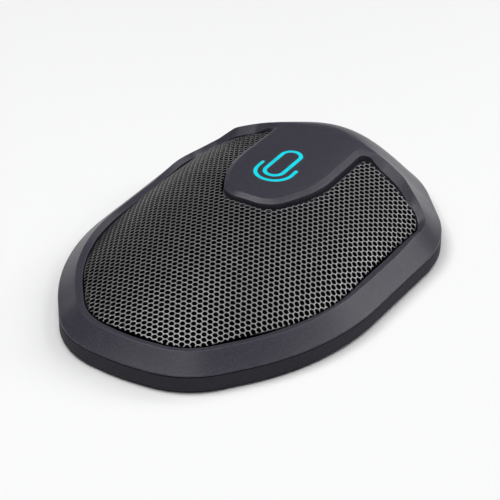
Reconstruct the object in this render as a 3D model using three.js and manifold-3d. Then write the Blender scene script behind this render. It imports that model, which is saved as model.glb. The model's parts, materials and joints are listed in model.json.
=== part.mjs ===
// Desk microphone for conferences: bevelled cover with a touch tongue, crowned grille, tray and electronics.
// Millimetres, +Z up, +Y towards the tongue and the socket. The feet stand on z = 0.

import * as THREE from 'three';
import { mergeVertices } from 'three/addons/utils/BufferGeometryUtils.js';
import Module from 'manifold-3d';

const wasm = await Module();
wasm.setup();

// Plan outline of the body: corners of its right half from nose to tail, each with its radius
const noseCentreY = -67.2;
const noseCentreRadius = 60;
const noseCornerX = 19.6;
const noseCornerY = -65.2;
const noseCornerRadius = 25;
const flankX = 44.6;
const flankY = -32.8;
const flankRadius = 70;
const shoulderX = 45.3;
const shoulderY = 33.8;
const shoulderRadius = 36;
const tailY = 86.8;
const tailRadius = 36.9;

// Heights of the body
const footProud = 0.6;
const bandHeight = 4.5;
const partingGap = 0.3;
const bandEdgeChamfer = 0.5;
const crestSlope = 0.82;
const crestGainLength = 30;
const crestLift = 1.3;
const crestLiftY = 11;
const crestLiftRun = 19;
const crestRearY = 45.5;
const crestShoulderEase = 1;
const crestRearRadius = 90;
const crestInset = 3;
const bulgeStart = 12;
const bulgeRun = 14;
const bulgeShare = 0.8;
const skinShares = [0, 0.25, 0.5, 0.75, 1];

// Crown of the grille: flat along the body behind crownFlatY, falling to the nose, arched across
const crownTop = 23.5;
const crownFlatY = 21.2;
const crownRadiusAlong = 250;
const crownFrontY = -58.8;
const crownRearY = 36.2;
const crossRadiusFront = 85;
const crossRadiusRear = 59;
const coverRadiusRear = 70;
const sideDropX = 24;
const sideDropRun = 14.3;
const sideDrop = 2;
const crownDepth = 60;

// Walls, fits and cuts
const coverWall = 2;
const fitGap = 0.3;
const solderGap = 0.1;
const inlayGap = 0.15;
const threadGap = 0.15;
const overrun = 5;

// Grille opening: it follows the body outline inside the bevel, then its rear edge and the tongue
const ringWidth = 4.9;
const lipWidth = 2;
const ringLipDrop = 0.4;
const tongueRise = 1.7;
const openingShoulderY = 31.4;
const openingShoulderRadius = 8;
const heelX = 14.8;
const heelY = 38.2;
const heelRadius = 2.5;
const waistX = 15.3;
const waistY = 11.2;
const waistRadius = 32;
const tongueCornerX = 7.8;
const tongueEndY = -3.4;
const tongueCornerRadius = 8.5;

// Collar and ledge that carry the grille
const collarThickness = 1.5;
const ledgeWidth = 2.2;
const ledgeThickness = 0.9;
const ledgeSeat = 2.2;

// Grille and liner
const grilleGap = 0.4;
const grilleThickness = 0.8;
const clothThickness = 0.4;

// Symbol on the tongue: a capsule outline in an open bow
const symbolY = 12.4;
const capsuleHalfWidth = 2.85;
const capsuleStraight = 9;
const bowRadius = 5.5;
const bowLegLength = 2.6;
const capsuleStroke = 1.3;
const bowStroke = 1.2;
const inlayDepth = 1;
const lightLegRadius = 0.7;
const capsuleLegY = 17;
const bowLegAngle = Math.PI / 3;

// Touch board under the tongue
const touchBoardZ = 18.5;
const touchBoardThickness = 1;
const touchBoardHalfWidth = 9.3;
const touchBoardFrontY = 4.5;
const touchBoardRearY = 36;
const touchBoardRadius = 1.5;
const touchPostX = 7.1;
const touchPostFrontY = 6.7;
const touchPostRearY = 33.6;
const touchPostRadius = 1.9;
const ledWidth = 2;
const ledLength = 1.4;
const ledHeight = 0.8;

// Tray
const trayWall = 2.7;
const trayFloor = 1.8;
const pilotFloor = 0.6;
const lipInset = 2;
const lipHeight = 0.7;
const rebateInset = 1.7;

// Screws that join cover and tray, and their bosses
const frontScrewX = 23.9;
const frontScrewY = -50.4;
const rearScrewX = 27;
const rearScrewY = 43;
const coverBossRadius = 3;
const trayBossRadius = 3.4;
const screwSink = 2;
const joinHeadRadius = 2.3;
const joinHeadHeight = 1.3;
const joinShankRadius = 1.2;
const joinShankLength = 6;
const joinRecessWidth = 0.5;
const smallHeadRadius = 1.7;
const smallHeadHeight = 0.9;
const smallShankRadius = 0.8;
const smallShankLength = 2.6;
const plateShankLength = 3.3;
const smallRecessWidth = 0.4;
const recessShare = 0.6;
const pilotExtra = 0.4;

// Feet
const footRadius = 5.5;
const footPocketDepth = 1;
const footEdge = 0.4;
const frontFootX = 28;
const frontFootY = -38;
const rearFootX = 27.5;
const rearFootY = 30.5;

// Main board and its parts
const boardLift = 1;
const boardThickness = 1.2;
const boardFrontY = 4;
const boardHalfWidth = 20;
const boardShoulderY = 43;
const boardTabHalfWidth = 9.5;
const boardTabY = 50;
const boardRearY = 62.5;
const boardCornerRadius = 1.5;
const boardPostRadius = 2.2;
const boardScrewX = 16.8;
const boardScrewFrontY = 8;
const boardScrewRearY = 40;
const chipSize = 7;
const chipHeight = 1;
const chipY = 31;
const crystalLength = 3.2;
const crystalWidth = 2.5;
const crystalHeight = 0.8;
const crystalX = 8;
const crystalY = 38;
const capacitorRadius = 2.5;
const capacitorHeight = 5.2;
const capacitorBase = 0.6;
const capacitorX = -11;
const capacitorFrontY = 25;
const capacitorRearY = 33;
const connectorWidth = 10;
const connectorLength = 4;
const mainConnectorHeight = 2;
const mainConnectorY = 15;
const touchConnectorHeight = 1.6;
const touchConnectorY = 31;

// Ribbon cable between the boards
const ribbonWidth = 8;
const ribbonThickness = 0.3;
const ribbonSteps = 24;

// USB socket, sunk into the board's rear edge
const socketWidth = 8.9;
const socketHeight = 3.2;
const socketLength = 7.4;
const socketRecess = 0.6;
const socketSkin = 0.3;
const socketBack = 0.8;
const socketSlotGap = 0.25;
const contactBlockLength = 1.4;
const contactTongueWidth = 6.6;
const contactTongueThickness = 0.7;
const contactTongueLength = 4.2;

// Microphone capsules in rubber boots, held in rings of the tray
const micX = 20;
const micY = -20;
const micRadius = 4.85;
const micHeight = 6.7;
const micPortRadius = 0.9;
const micPortDepth = 0.6;
const bootWall = 1.2;
const bootFloor = 0.8;
const bootChamber = 1.6;
const holderWall = 1.3;
const holderHeight = 6.5;
const cableSlot = 2.6;

// Leads from the capsules to two-pin headers
const leadRadius = 0.6;
const leadSides = 6;
const leadSteps = 10;
const headerWidth = 6;
const headerLength = 4;
const headerHeight = 4.2;
const headerX = 8;
const headerY = 7.5;

// Ballast plate
const plateThickness = 2;
const plateHalfWidth = 28.5;
const plateFrontY = -46.5;
const plateRearY = -2;
const plateRadius = 8;
const plateScrewFrontY = -40;
const plateScrewRearY = -9;

// Facets
const arcSagitta = 0.16;
const openingStep = 12;
const skinStep = 5;
const roundSides = 16;
const smallRound = 1.9;
const smallSides = 10;
const crownCellsAcross = 18;
const crownCellsFront = 8;
const crownCellsRear = 2;
const straightShare = 0.9999;
const tinyShare = 0.000001;

// Levels worked out from the sizes above
const trayBottomZ = footProud;
const floorTopZ = trayBottomZ + trayFloor;
const postFootZ = trayBottomZ + trayFloor / 2;
const bandTopZ = trayBottomZ + bandHeight;
const rimZ = bandTopZ + partingGap;
const lipTopZ = bandTopZ + lipHeight;
const rebateTopZ = lipTopZ + fitGap;
const boardZ = floorTopZ + boardLift;
const boardTopZ = boardZ + boardThickness;
const socketZ = boardZ + boardThickness / 2;
const touchTopZ = touchBoardZ + touchBoardThickness;
const ledTopZ = touchTopZ + solderGap + ledHeight;
const plateZ = floorTopZ + fitGap;
const skirtDepth = ledgeSeat - fitGap;
const joinScrewZ = trayBottomZ + screwSink - fitGap;
const joinPilotTopZ = joinScrewZ + joinShankLength + pilotExtra;
const coverBossTopZ = joinPilotTopZ + coverWall;
const touchPilotTopZ = touchBoardZ + smallShankLength + pilotExtra;

const origin = new THREE.Vector2();
const joinScrew = {
  headRadius: joinHeadRadius,
  headHeight: joinHeadHeight,
  shankRadius: joinShankRadius,
  shankLength: joinShankLength,
  recessWidth: joinRecessWidth,
};
const smallScrew = {
  headRadius: smallHeadRadius,
  headHeight: smallHeadHeight,
  shankRadius: smallShankRadius,
  shankLength: smallShankLength,
  recessWidth: smallRecessWidth,
};
const plateScrew = { ...smallScrew, shankLength: plateShankLength };

// Every corner of a closed outline from those of its right half, front to rear
function mirrored(corners) {
  const left = corners.filter((corner) => corner.x > 0).reverse();
  return [...corners, ...left.map((corner) => ({ ...corner, x: -corner.x }))];
}

// Points of an outline with rounded corners, anticlockwise, each with its outward normal
function roundedOutline(corners, longestStep = Infinity) {
  const outline = [];
  corners.forEach((corner, index) => {
    const before = corners[(index + corners.length - 1) % corners.length];
    const after = corners[(index + 1) % corners.length];
    const arriving = new THREE.Vector2(corner.x - before.x, corner.y - before.y).normalize();
    const leaving = new THREE.Vector2(after.x - corner.x, after.y - corner.y).normalize();
    const turn = Math.atan2(arriving.cross(leaving), arriving.dot(leaving));
    const bend = Math.sign(turn) * corner.radius;
    const setback = Math.abs(bend) * Math.tan(Math.abs(turn) / 2);
    const centreX = corner.x - arriving.x * setback - arriving.y * bend;
    const centreY = corner.y - arriving.y * setback + arriving.x * bend;
    const arcStep = 2 * Math.acos(1 - arcSagitta / corner.radius);
    const steps = Math.max(1, Math.ceil(Math.abs(turn) / arcStep));
    for (let step = 0; step <= steps; step += 1) {
      const normal = new THREE.Vector2(arriving.y, -arriving.x).rotateAround(origin, (turn * step) / steps);
      outline.push({ x: centreX + normal.x * bend, y: centreY + normal.y * bend, normal });
    }
  });
  return outline.flatMap((point, index) => {
    const next = outline[(index + 1) % outline.length];
    const distance = Math.hypot(next.x - point.x, next.y - point.y);
    const straight = point.normal.dot(next.normal) > straightShare;
    const parts = straight ? Math.max(1, Math.ceil(distance / longestStep)) : 1;
    return Array.from({ length: parts }, (_, part) => ({
      x: THREE.MathUtils.lerp(point.x, next.x, part / parts),
      y: THREE.MathUtils.lerp(point.y, next.y, part / parts),
      normal: point.normal,
    }));
  });
}

// The same outline moved outwards by a distance
function shifted(outline, distance) {
  return outline.map(({ x, y, normal }) => new THREE.Vector2(x, y).addScaledVector(normal, distance));
}

// A closed mesh as a solid for joining and cutting
function solid(geometry) {
  geometry.deleteAttribute('normal');
  geometry.deleteAttribute('uv');
  const merged = mergeVertices(geometry);
  const vertProperties = new Float32Array(merged.attributes.position.array);
  const triVerts = new Uint32Array(merged.index.array);
  return new wasm.Manifold(new wasm.Mesh({ numProp: 3, vertProperties, triVerts }));
}

function prism(shape, low, high) {
  const depth = high - low;
  const options = { depth, bevelEnabled: false, curveSegments: roundSides / 2 };
  return solid(new THREE.ExtrudeGeometry(shape, options).translate(0, 0, low));
}

function outlinePrism(points, low, high) {
  return prism(new THREE.Shape(points), low, high);
}

function block(width, length, height, x, y, low) {
  return solid(new THREE.BoxGeometry(width, length, height).translate(x, y, low + height / 2));
}

function cylinder(radius, low, high, x = 0, y = 0) {
  const sides = radius < smallRound ? smallSides : roundSides;
  const geometry = new THREE.CylinderGeometry(radius, radius, high - low, sides);
  return solid(geometry.rotateX(Math.PI / 2).translate(x, y, (low + high) / 2));
}

function cylindersAt(places, radius, low, high) {
  return joined(places.map(([x, y]) => cylinder(radius, low, high, x, y)));
}

function turned(profile, sides = roundSides) {
  const points = profile.map(([radius, height]) => new THREE.Vector2(radius, height));
  return solid(new THREE.LatheGeometry(points, sides).rotateX(Math.PI / 2));
}

function joined(solids) {
  return solids.reduce((whole, next) => whole.add(next));
}

// A skin over rings of equally many points, capped at both ends or closed into a loop
function loft(rings, looped = false) {
  const count = rings[0].length;
  const bands = looped ? rings.length : rings.length - 1;
  const index = [];
  for (let band = 0; band < bands; band += 1) {
    const upper = (band + 1) % rings.length;
    for (let here = 0; here < count; here += 1) {
      const next = (here + 1) % count;
      index.push(band * count + here, band * count + next, upper * count + next);
      index.push(band * count + here, upper * count + next, upper * count + here);
    }
  }
  if (!looped) {
    const start = (rings.length - 1) * count;
    const lowCap = THREE.ShapeUtils.triangulateShape(rings[0], []);
    const highCap = THREE.ShapeUtils.triangulateShape(rings.at(-1), []);
    lowCap.forEach(([a, b, c]) => index.push(a, c, b));
    highCap.forEach(([a, b, c]) => index.push(start + a, start + b, start + c));
  }
  const geometry = new THREE.BufferGeometry().setFromPoints(rings.flat());
  geometry.setIndex(index);
  return solid(geometry);
}

function ringAt(points, height) {
  return points.map((point) => new THREE.Vector3(point.x, point.y, height));
}

const bodyCorners = mirrored([
  { x: 0, y: noseCentreY, radius: noseCentreRadius },
  { x: noseCornerX, y: noseCornerY, radius: noseCornerRadius },
  { x: flankX, y: flankY, radius: flankRadius },
  { x: shoulderX, y: shoulderY, radius: shoulderRadius },
  { x: 0, y: tailY, radius: tailRadius },
]);
const body = roundedOutline(bodyCorners);
const bodyRearY = Math.max(...body.map((point) => point.y));
const bodyFrontY = Math.min(...body.map((point) => point.y));
const socketRearY = bodyRearY - socketRecess;
const socketFrontY = socketRearY - socketLength;

// A corner of the body outline moved inwards with the two edges that meet there
function insetCorner(index, distance) {
  const corner = bodyCorners[index];
  const before = bodyCorners[(index + bodyCorners.length - 1) % bodyCorners.length];
  const after = bodyCorners[index + 1];
  const arriving = new THREE.Vector2(corner.x - before.x, corner.y - before.y).normalize();
  const leaving = new THREE.Vector2(after.x - corner.x, after.y - corner.y).normalize();
  const inward = new THREE.Vector2(-arriving.y - leaving.y, arriving.x + leaving.x).normalize();
  const reach = distance / (inward.x * -arriving.y + inward.y * arriving.x);
  const radius = corner.radius - distance;
  return { x: corner.x + inward.x * reach, y: corner.y + inward.y * reach, radius };
}

const ringInset = ringWidth + lipWidth;
const openingCorners = mirrored([
  { ...insetCorner(0, ringInset), x: 0 },
  insetCorner(1, ringInset),
  insetCorner(2, ringInset),
  { x: shoulderX - ringInset, y: openingShoulderY, radius: openingShoulderRadius },
  { x: heelX, y: heelY, radius: heelRadius },
  { x: waistX, y: waistY, radius: waistRadius },
  { x: tongueCornerX, y: tongueEndY, radius: tongueCornerRadius },
]);
const opening = roundedOutline(openingCorners, openingStep);

// Height of the arch that the cover's top follows, before its rise over the grille
function archHeight(x, y, radiusRear = coverRadiusRear) {
  const rearShare = (y - crownFrontY) / (crownRearY - crownFrontY);
  const curvature = THREE.MathUtils.lerp(1 / crossRadiusFront, 1 / radiusRear, rearShare);
  const fall = Math.max(0, crownFlatY - y);
  return crownTop - (fall * fall) / (2 * crownRadiusAlong) - (curvature * x * x) / 2;
}

// Height of the grille's outer face, which falls away from the arch at both sides
function crownHeight(x, y) {
  const run = Math.max(0, Math.abs(x) - sideDropX) / sideDropRun;
  return archHeight(x, y, crossRadiusRear) - sideDrop * run * run;
}

// A layer between two heights over the grille's face or over the arch
function crownLayer(lowRise, highRise, heightAt = crownHeight) {
  const width = 2 * (shoulderX + overrun);
  const length = bodyRearY - bodyFrontY + 2 * overrun;
  const height = highRise - lowRise;
  const cellsAlong = crownCellsFront + crownCellsRear;
  const geometry = new THREE.BoxGeometry(width, length, height, crownCellsAcross, cellsAlong);
  const position = geometry.attributes.position;
  for (let index = 0; index < position.count; index += 1) {
    const x = position.getX(index);
    const row = Math.round((position.getY(index) / length) * cellsAlong + cellsAlong / 2);
    const y = row < crownCellsFront
      ? THREE.MathUtils.lerp(bodyFrontY - overrun, crownFlatY, row / crownCellsFront)
      : THREE.MathUtils.lerp(crownFlatY, bodyRearY + overrun, (row - crownCellsFront) / crownCellsRear);
    const rise = position.getZ(index) > 0 ? highRise : lowRise;
    position.setXYZ(index, x, y, heightAt(x, y) + rise);
  }
  return solid(geometry);
}

// Crest of the cover: round the opening at the front and sides, straight across behind the tongue
const crestShoulderRadius = openingShoulderRadius + lipWidth + crestShoulderEase;
const crest = roundedOutline(mirrored([
  { ...insetCorner(0, ringWidth), x: 0 },
  insetCorner(1, ringWidth),
  insetCorner(2, ringWidth),
  { x: shoulderX - ringWidth, y: openingShoulderY + lipWidth, radius: crestShoulderRadius },
  { x: 0, y: crestRearY, radius: crestRearRadius },
]));

function crestHeight(x, y, fromRim) {
  const lift = crestLift * THREE.MathUtils.clamp((y - crestLiftY) / crestLiftRun, 0, 1);
  const slopeHeight = rimZ + fromRim * crestSlope + (fromRim * fromRim) / crestGainLength + lift;
  return Math.min(slopeHeight, archHeight(x, y) + tongueRise);
}

// Distance from a point of the body outline straight inwards to the crest
function crestDistance({ x, y, normal }) {
  const inward = normal.clone().negate();
  return crest.reduce((least, start, index) => {
    const end = crest[(index + 1) % crest.length];
    const edge = new THREE.Vector2(end.x - start.x, end.y - start.y);
    const offset = new THREE.Vector2(start.x - x, start.y - y);
    const facing = inward.cross(edge);
    const distance = offset.cross(edge) / facing;
    const share = offset.cross(inward) / facing;
    const hit = distance > 0 && share > -tinyShare && share < 1 + tinyShare;
    return hit ? Math.min(least, distance) : least;
  }, Infinity);
}

// The solid under the sloped skin from the rim to the crest, lowered by a distance
function skinBlock(lowering) {
  const rim = roundedOutline(bodyCorners, skinStep).map((point) => {
    const reach = crestDistance(point);
    const x = point.x - point.normal.x * reach;
    const y = point.y - point.normal.y * reach;
    const bulge = bulgeShare * THREE.MathUtils.clamp((reach - bulgeStart) / bulgeRun, 0, 1);
    return { ...point, reach, bulge, rise: crestHeight(x, y, reach) - rimZ };
  });
  const inwards = ({ x, y, normal }, distance, height) => (
    new THREE.Vector3(x - normal.x * distance, y - normal.y * distance, height)
  );
  const skin = skinShares.map((share) => rim.map((point) => {
    const height = rimZ - lowering + point.rise * share * (1 + point.bulge * (1 - share));
    return inwards(point, point.reach * share, height);
  }));
  const insideCrest = rim.map((point) => (
    inwards(point, point.reach + crestInset, rimZ - lowering + point.rise + crestInset)
  ));
  const above = crownTop + tongueRise + overrun;
  return loft([...skin, insideCrest, ringAt(insideCrest, above)]);
}

function distanceToRim(point) {
  const segment = new THREE.Line3();
  const nearest = new THREE.Vector3();
  const flat = new THREE.Vector3(point.x, point.y, 0);
  return body.reduce((least, start, index) => {
    const end = body[(index + 1) % body.length];
    segment.start.set(start.x, start.y, 0);
    segment.end.set(end.x, end.y, 0);
    segment.closestPointToPoint(flat, true, nearest);
    return Math.min(least, nearest.distanceTo(flat));
  }, Infinity);
}

// What is cut away over the sloped lip round the opening
function lipCutter() {
  const outer = shifted(opening, lipWidth);
  const inner = shifted(opening, -grilleGap);
  const outerHeights = outer.map((point) => crestHeight(point.x, point.y, distanceToRim(point)));
  const lowOuter = outer.map((point, index) => new THREE.Vector3(point.x, point.y, outerHeights[index]));
  const lowInner = inner.map((point, index) => {
    const overGrille = outerHeights[index] - crownHeight(opening[index].x, opening[index].y) - fitGap;
    const drop = THREE.MathUtils.clamp(overGrille, ringLipDrop, tongueRise - fitGap);
    const reach = 1 + grilleGap / lipWidth;
    return new THREE.Vector3(point.x, point.y, outerHeights[index] - drop * reach);
  });
  const above = crownTop + tongueRise + overrun;
  return loft([lowInner, lowOuter, ringAt(outer, above), ringAt(inner, above)], true);
}

// Places of the repeated pieces
const bothSides = [-1, 1];
const joinPlaces = bothSides.flatMap((side) => [
  [side * frontScrewX, frontScrewY],
  [side * rearScrewX, rearScrewY],
]);
const footPlaces = bothSides.flatMap((side) => [
  [side * frontFootX, frontFootY],
  [side * rearFootX, rearFootY],
]);
const touchPlaces = bothSides.flatMap((side) => [
  [side * touchPostX, touchPostFrontY],
  [side * touchPostX, touchPostRearY],
]);
const boardPlaces = bothSides.flatMap((side) => [
  [side * boardScrewX, boardScrewFrontY],
  [side * boardScrewX, boardScrewRearY],
]);
const platePlaces = [[0, plateScrewFrontY], [0, plateScrewRearY]];
const micPlaces = bothSides.map((side) => [side * micX, micY]);
const capsuleLegs = bothSides.map((side) => [side * capsuleHalfWidth, capsuleLegY]);
const bowLegs = bothSides.map((side) => [
  side * bowRadius * Math.sin(bowLegAngle),
  symbolY - bowRadius * Math.cos(bowLegAngle),
]);

// Symbol shapes, half a stroke either side of their centre lines
function capsuleShape(halfStroke) {
  const shape = new THREE.Shape();
  shape.absarc(0, symbolY, capsuleHalfWidth + halfStroke, Math.PI, 2 * Math.PI);
  shape.absarc(0, symbolY + capsuleStraight, capsuleHalfWidth + halfStroke, 0, Math.PI);
  const hole = new THREE.Path();
  hole.absarc(0, symbolY, capsuleHalfWidth - halfStroke, Math.PI, 2 * Math.PI);
  hole.absarc(0, symbolY + capsuleStraight, capsuleHalfWidth - halfStroke, 0, Math.PI);
  shape.holes.push(hole);
  return shape;
}

function bowShape(halfStroke) {
  const shape = new THREE.Shape();
  const legTop = symbolY + bowLegLength;
  shape.absarc(0, symbolY, bowRadius + halfStroke, Math.PI, 2 * Math.PI);
  shape.absarc(bowRadius, legTop, halfStroke, 0, Math.PI);
  shape.absarc(0, symbolY, bowRadius - halfStroke, 2 * Math.PI, Math.PI, true);
  shape.absarc(-bowRadius, legTop, halfStroke, 0, Math.PI);
  return shape;
}

function tongueLayer(shape, lowRise, highRise) {
  const layer = crownLayer(lowRise, highRise, archHeight);
  return prism(shape, floorTopZ, crownTop + overrun).intersect(layer);
}

function lightLegHoles() {
  const top = crownTop + tongueRise;
  const holes = cylindersAt([...capsuleLegs, ...bowLegs], lightLegRadius + inlayGap, touchTopZ, top);
  return holes.intersect(crownLayer(-crownDepth, tongueRise - inlayDepth + inlayGap, archHeight));
}

function socketSlot() {
  const width = socketWidth + 2 * socketSlotGap;
  const height = socketHeight + 2 * socketSlotGap;
  return obroundAlongY(width, height, socketFrontY, bodyRearY + overrun);
}

// A flat-sided rod with round ends that runs along Y at the socket's height
function obroundAlongY(width, height, frontY, rearY) {
  const radius = height / 2;
  const reach = width / 2 - radius;
  const shape = new THREE.Shape();
  shape.absarc(reach, 0, radius, -Math.PI / 2, Math.PI / 2);
  shape.absarc(-reach, 0, radius, Math.PI / 2, 1.5 * Math.PI);
  const options = { depth: rearY - frontY, bevelEnabled: false, curveSegments: roundSides / 4 };
  const geometry = new THREE.ExtrudeGeometry(shape, options);
  return solid(geometry.rotateX(Math.PI / 2).translate(0, rearY, socketZ));
}

function makeTopCover() {
  const envelope = skinBlock(0).intersect(crownLayer(-crownDepth, tongueRise, archHeight));
  const ceiling = crownLayer(-crownDepth, tongueRise - coverWall, archHeight);
  const cavity = skinBlock(coverWall * Math.SQRT2).intersect(ceiling);
  const collarLow = -(ledgeSeat + ledgeThickness);
  const collar = outlinePrism(shifted(opening, collarThickness), rimZ, crownTop + overrun)
    .intersect(crownLayer(collarLow, crownDepth))
    .intersect(envelope);
  const openingTop = outlinePrism(shifted(opening, 0), 0, crownTop + overrun);
  const openingThrough = outlinePrism(shifted(opening, -ledgeWidth), 0, crownTop + overrun);
  const bosses = cylindersAt(joinPlaces, coverBossRadius, rebateTopZ, coverBossTopZ);
  const bossCores = cylindersAt(joinPlaces, coverBossRadius / 2, rebateTopZ, crownTop)
    .intersect(skinBlock(coverWall / 2))
    .intersect(crownLayer(-crownDepth, tongueRise - coverWall / 2, archHeight));
  const posts = cylindersAt(touchPlaces, touchPostRadius, touchTopZ + fitGap, crownTop);
  const postLayer = crownLayer(-crownDepth, tongueRise - coverWall / 2, archHeight);
  const pilots = cylindersAt(joinPlaces, joinShankRadius + threadGap, 0, joinPilotTopZ);
  const touchPilots = cylindersAt(touchPlaces, smallShankRadius + threadGap, 0, touchPilotTopZ);
  const rebate = outlinePrism(shifted(body, -rebateInset), rimZ - fitGap, rebateTopZ);
  const inlayFloor = tongueRise - inlayDepth;
  return envelope
    .subtract(cavity)
    .add(collar.subtract(openingThrough))
    .add(bosses.intersect(envelope))
    .add(bossCores)
    .add(posts.intersect(postLayer))
    .subtract(openingTop.intersect(crownLayer(-ledgeSeat, crownDepth)))
    .subtract(lipCutter())
    .subtract(pilots)
    .subtract(touchPilots)
    .subtract(rebate)
    .subtract(tongueLayer(capsuleShape(capsuleStroke / 2 + inlayGap), inlayFloor, crownDepth))
    .subtract(tongueLayer(bowShape(bowStroke / 2 + inlayGap), inlayFloor, crownDepth))
    .subtract(lightLegHoles())
    .subtract(socketSlot());
}

function makeGrille() {
  const outer = outlinePrism(shifted(opening, -grilleGap), 0, crownTop + overrun);
  const inner = outlinePrism(shifted(opening, -grilleGap - grilleThickness), 0, crownTop + overrun);
  return outer
    .intersect(crownLayer(-skirtDepth, 0))
    .subtract(inner.intersect(crownLayer(-crownDepth, -grilleThickness)));
}

function makeCloth() {
  const inset = grilleGap + grilleThickness + fitGap;
  const top = -grilleThickness - fitGap;
  const outline = outlinePrism(shifted(opening, -inset), 0, crownTop + overrun);
  return outline.intersect(crownLayer(top - clothThickness, top));
}

function makeInlay(shape, legs) {
  const rods = cylindersAt(legs, lightLegRadius, ledTopZ + fitGap, crownTop + tongueRise);
  const rodLayer = crownLayer(-crownDepth, tongueRise - inlayDepth / 2, archHeight);
  const plate = tongueLayer(shape, tongueRise - inlayDepth + inlayGap, tongueRise);
  return plate.add(rods.intersect(rodLayer));
}

function makeTouchBoard() {
  const outline = roundedOutline([
    { x: -touchBoardHalfWidth, y: touchBoardFrontY, radius: touchBoardRadius },
    { x: touchBoardHalfWidth, y: touchBoardFrontY, radius: touchBoardRadius },
    { x: touchBoardHalfWidth, y: touchBoardRearY, radius: touchBoardRadius },
    { x: -touchBoardHalfWidth, y: touchBoardRearY, radius: touchBoardRadius },
  ]);
  const holes = cylindersAt(touchPlaces, smallShankRadius + fitGap, 0, crownTop);
  return outlinePrism(shifted(outline, 0), touchBoardZ, touchTopZ).subtract(holes);
}

function makeTray() {
  const edge = shifted(body, -bandEdgeChamfer);
  const side = shifted(body, 0);
  const outside = loft([
    ringAt(edge, trayBottomZ),
    ringAt(side, trayBottomZ + bandEdgeChamfer),
    ringAt(side, bandTopZ),
  ]);
  const lip = outlinePrism(shifted(body, -lipInset), floorTopZ, lipTopZ);
  const inside = outlinePrism(shifted(body, -trayWall), floorTopZ, lipTopZ + overrun);
  const bosses = cylindersAt(joinPlaces, trayBossRadius, trayBottomZ + bandEdgeChamfer, lipTopZ);
  const posts = cylindersAt(boardPlaces, boardPostRadius, postFootZ, boardZ - fitGap);
  const holders = joined(micPlaces.map(([x, y]) => makeHolder(x, y)));
  const clearance = cylindersAt(joinPlaces, joinShankRadius + fitGap, 0, lipTopZ + overrun);
  const sinks = cylindersAt(joinPlaces, joinHeadRadius + fitGap, 0, trayBottomZ + screwSink);
  const pockets = cylindersAt(footPlaces, footRadius + fitGap, 0, trayBottomZ + footPocketDepth);
  const pilotPlaces = [...boardPlaces, ...platePlaces];
  const pilots = cylindersAt(pilotPlaces, smallShankRadius + threadGap, trayBottomZ + pilotFloor, crownTop);
  return outside
    .add(lip)
    .subtract(inside)
    .add(bosses)
    .add(posts)
    .add(holders)
    .subtract(clearance)
    .subtract(sinks)
    .subtract(pockets)
    .subtract(pilots)
    .subtract(socketSlot());
}

const bootRadius = micRadius + fitGap + bootWall;
const holderRadius = bootRadius + fitGap + holderWall;
const bootZ = floorTopZ + fitGap;
const micZ = bootZ + bootFloor + bootChamber;

function makeHolder(x, y) {
  const top = floorTopZ + holderHeight;
  const slot = block(cableSlot, holderRadius + overrun, top, x, y + (holderRadius + overrun) / 2, floorTopZ);
  return cylinder(holderRadius, postFootZ, top, x, y)
    .subtract(cylinder(bootRadius + fitGap, floorTopZ, top + overrun, x, y))
    .subtract(slot);
}

function makeBoot() {
  const top = micZ + micHeight;
  const slot = block(cableSlot, bootRadius + overrun, top, 0, (bootRadius + overrun) / 2, bootZ + bootFloor);
  return cylinder(bootRadius, bootZ, top)
    .subtract(cylinder(micRadius + fitGap, micZ - fitGap, top + overrun))
    .subtract(cylinder(micRadius - bootWall / 2, bootZ + bootFloor, top))
    .subtract(slot);
}

function makeCapsule() {
  const top = micZ + micHeight;
  return cylinder(micRadius, micZ, top).subtract(cylinder(micPortRadius, top - micPortDepth, top + overrun));
}

// A thin round lead along a smooth line through hand-chosen points
function makeLead(side) {
  const startZ = bootZ + bootFloor + leadRadius + solderGap;
  const cruiseZ = plateZ + plateThickness + 2 * leadRadius;
  const endZ = boardTopZ + headerHeight / 2;
  const holderRearY = micY + holderRadius;
  const path = new THREE.CatmullRomCurve3([
    new THREE.Vector3(side * micX, micY + micRadius / 2, startZ),
    new THREE.Vector3(side * micX, micY + bootRadius, startZ + leadRadius),
    new THREE.Vector3(side * micX, holderRearY, cruiseZ),
    new THREE.Vector3((side * (micX + headerX)) / 2, (holderRearY + boardFrontY) / 2, cruiseZ),
    new THREE.Vector3(side * headerX, boardFrontY - headerLength / 2, endZ),
    new THREE.Vector3(side * headerX, headerY - headerLength / 2 - fitGap, endZ),
  ]);
  const section = new THREE.Shape();
  section.absarc(0, 0, leadRadius, 0, 2 * Math.PI);
  const options = { steps: leadSteps, curveSegments: leadSides, extrudePath: path, bevelEnabled: false };
  return solid(new THREE.ExtrudeGeometry(section, options));
}

function makePlate() {
  const outline = roundedOutline([
    { x: -plateHalfWidth, y: plateFrontY, radius: plateRadius },
    { x: plateHalfWidth, y: plateFrontY, radius: plateRadius },
    { x: plateHalfWidth, y: plateRearY, radius: plateRadius },
    { x: -plateHalfWidth, y: plateRearY, radius: plateRadius },
  ]);
  const top = plateZ + plateThickness;
  const holes = cylindersAt(platePlaces, smallShankRadius + fitGap, 0, top + overrun);
  const rings = cylindersAt(micPlaces, holderRadius + fitGap, 0, top + overrun);
  return outlinePrism(shifted(outline, 0), plateZ, top).subtract(holes).subtract(rings);
}

function makeMainBoard() {
  const notch = socketWidth / 2 + fitGap;
  const notchFrontY = socketFrontY - fitGap;
  const outline = roundedOutline(mirrored([
    { x: boardHalfWidth, y: boardFrontY, radius: boardCornerRadius },
    { x: boardHalfWidth, y: boardShoulderY, radius: boardCornerRadius },
    { x: boardTabHalfWidth, y: boardTabY, radius: boardCornerRadius },
    { x: boardTabHalfWidth, y: boardRearY, radius: boardCornerRadius },
  ]));
  const holes = cylindersAt(boardPlaces, smallShankRadius + fitGap, 0, crownTop);
  return outlinePrism(shifted(outline, 0), boardZ, boardTopZ)
    .subtract(block(2 * notch, boardRearY, crownTop, 0, notchFrontY + boardRearY / 2, 0))
    .subtract(holes);
}

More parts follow.
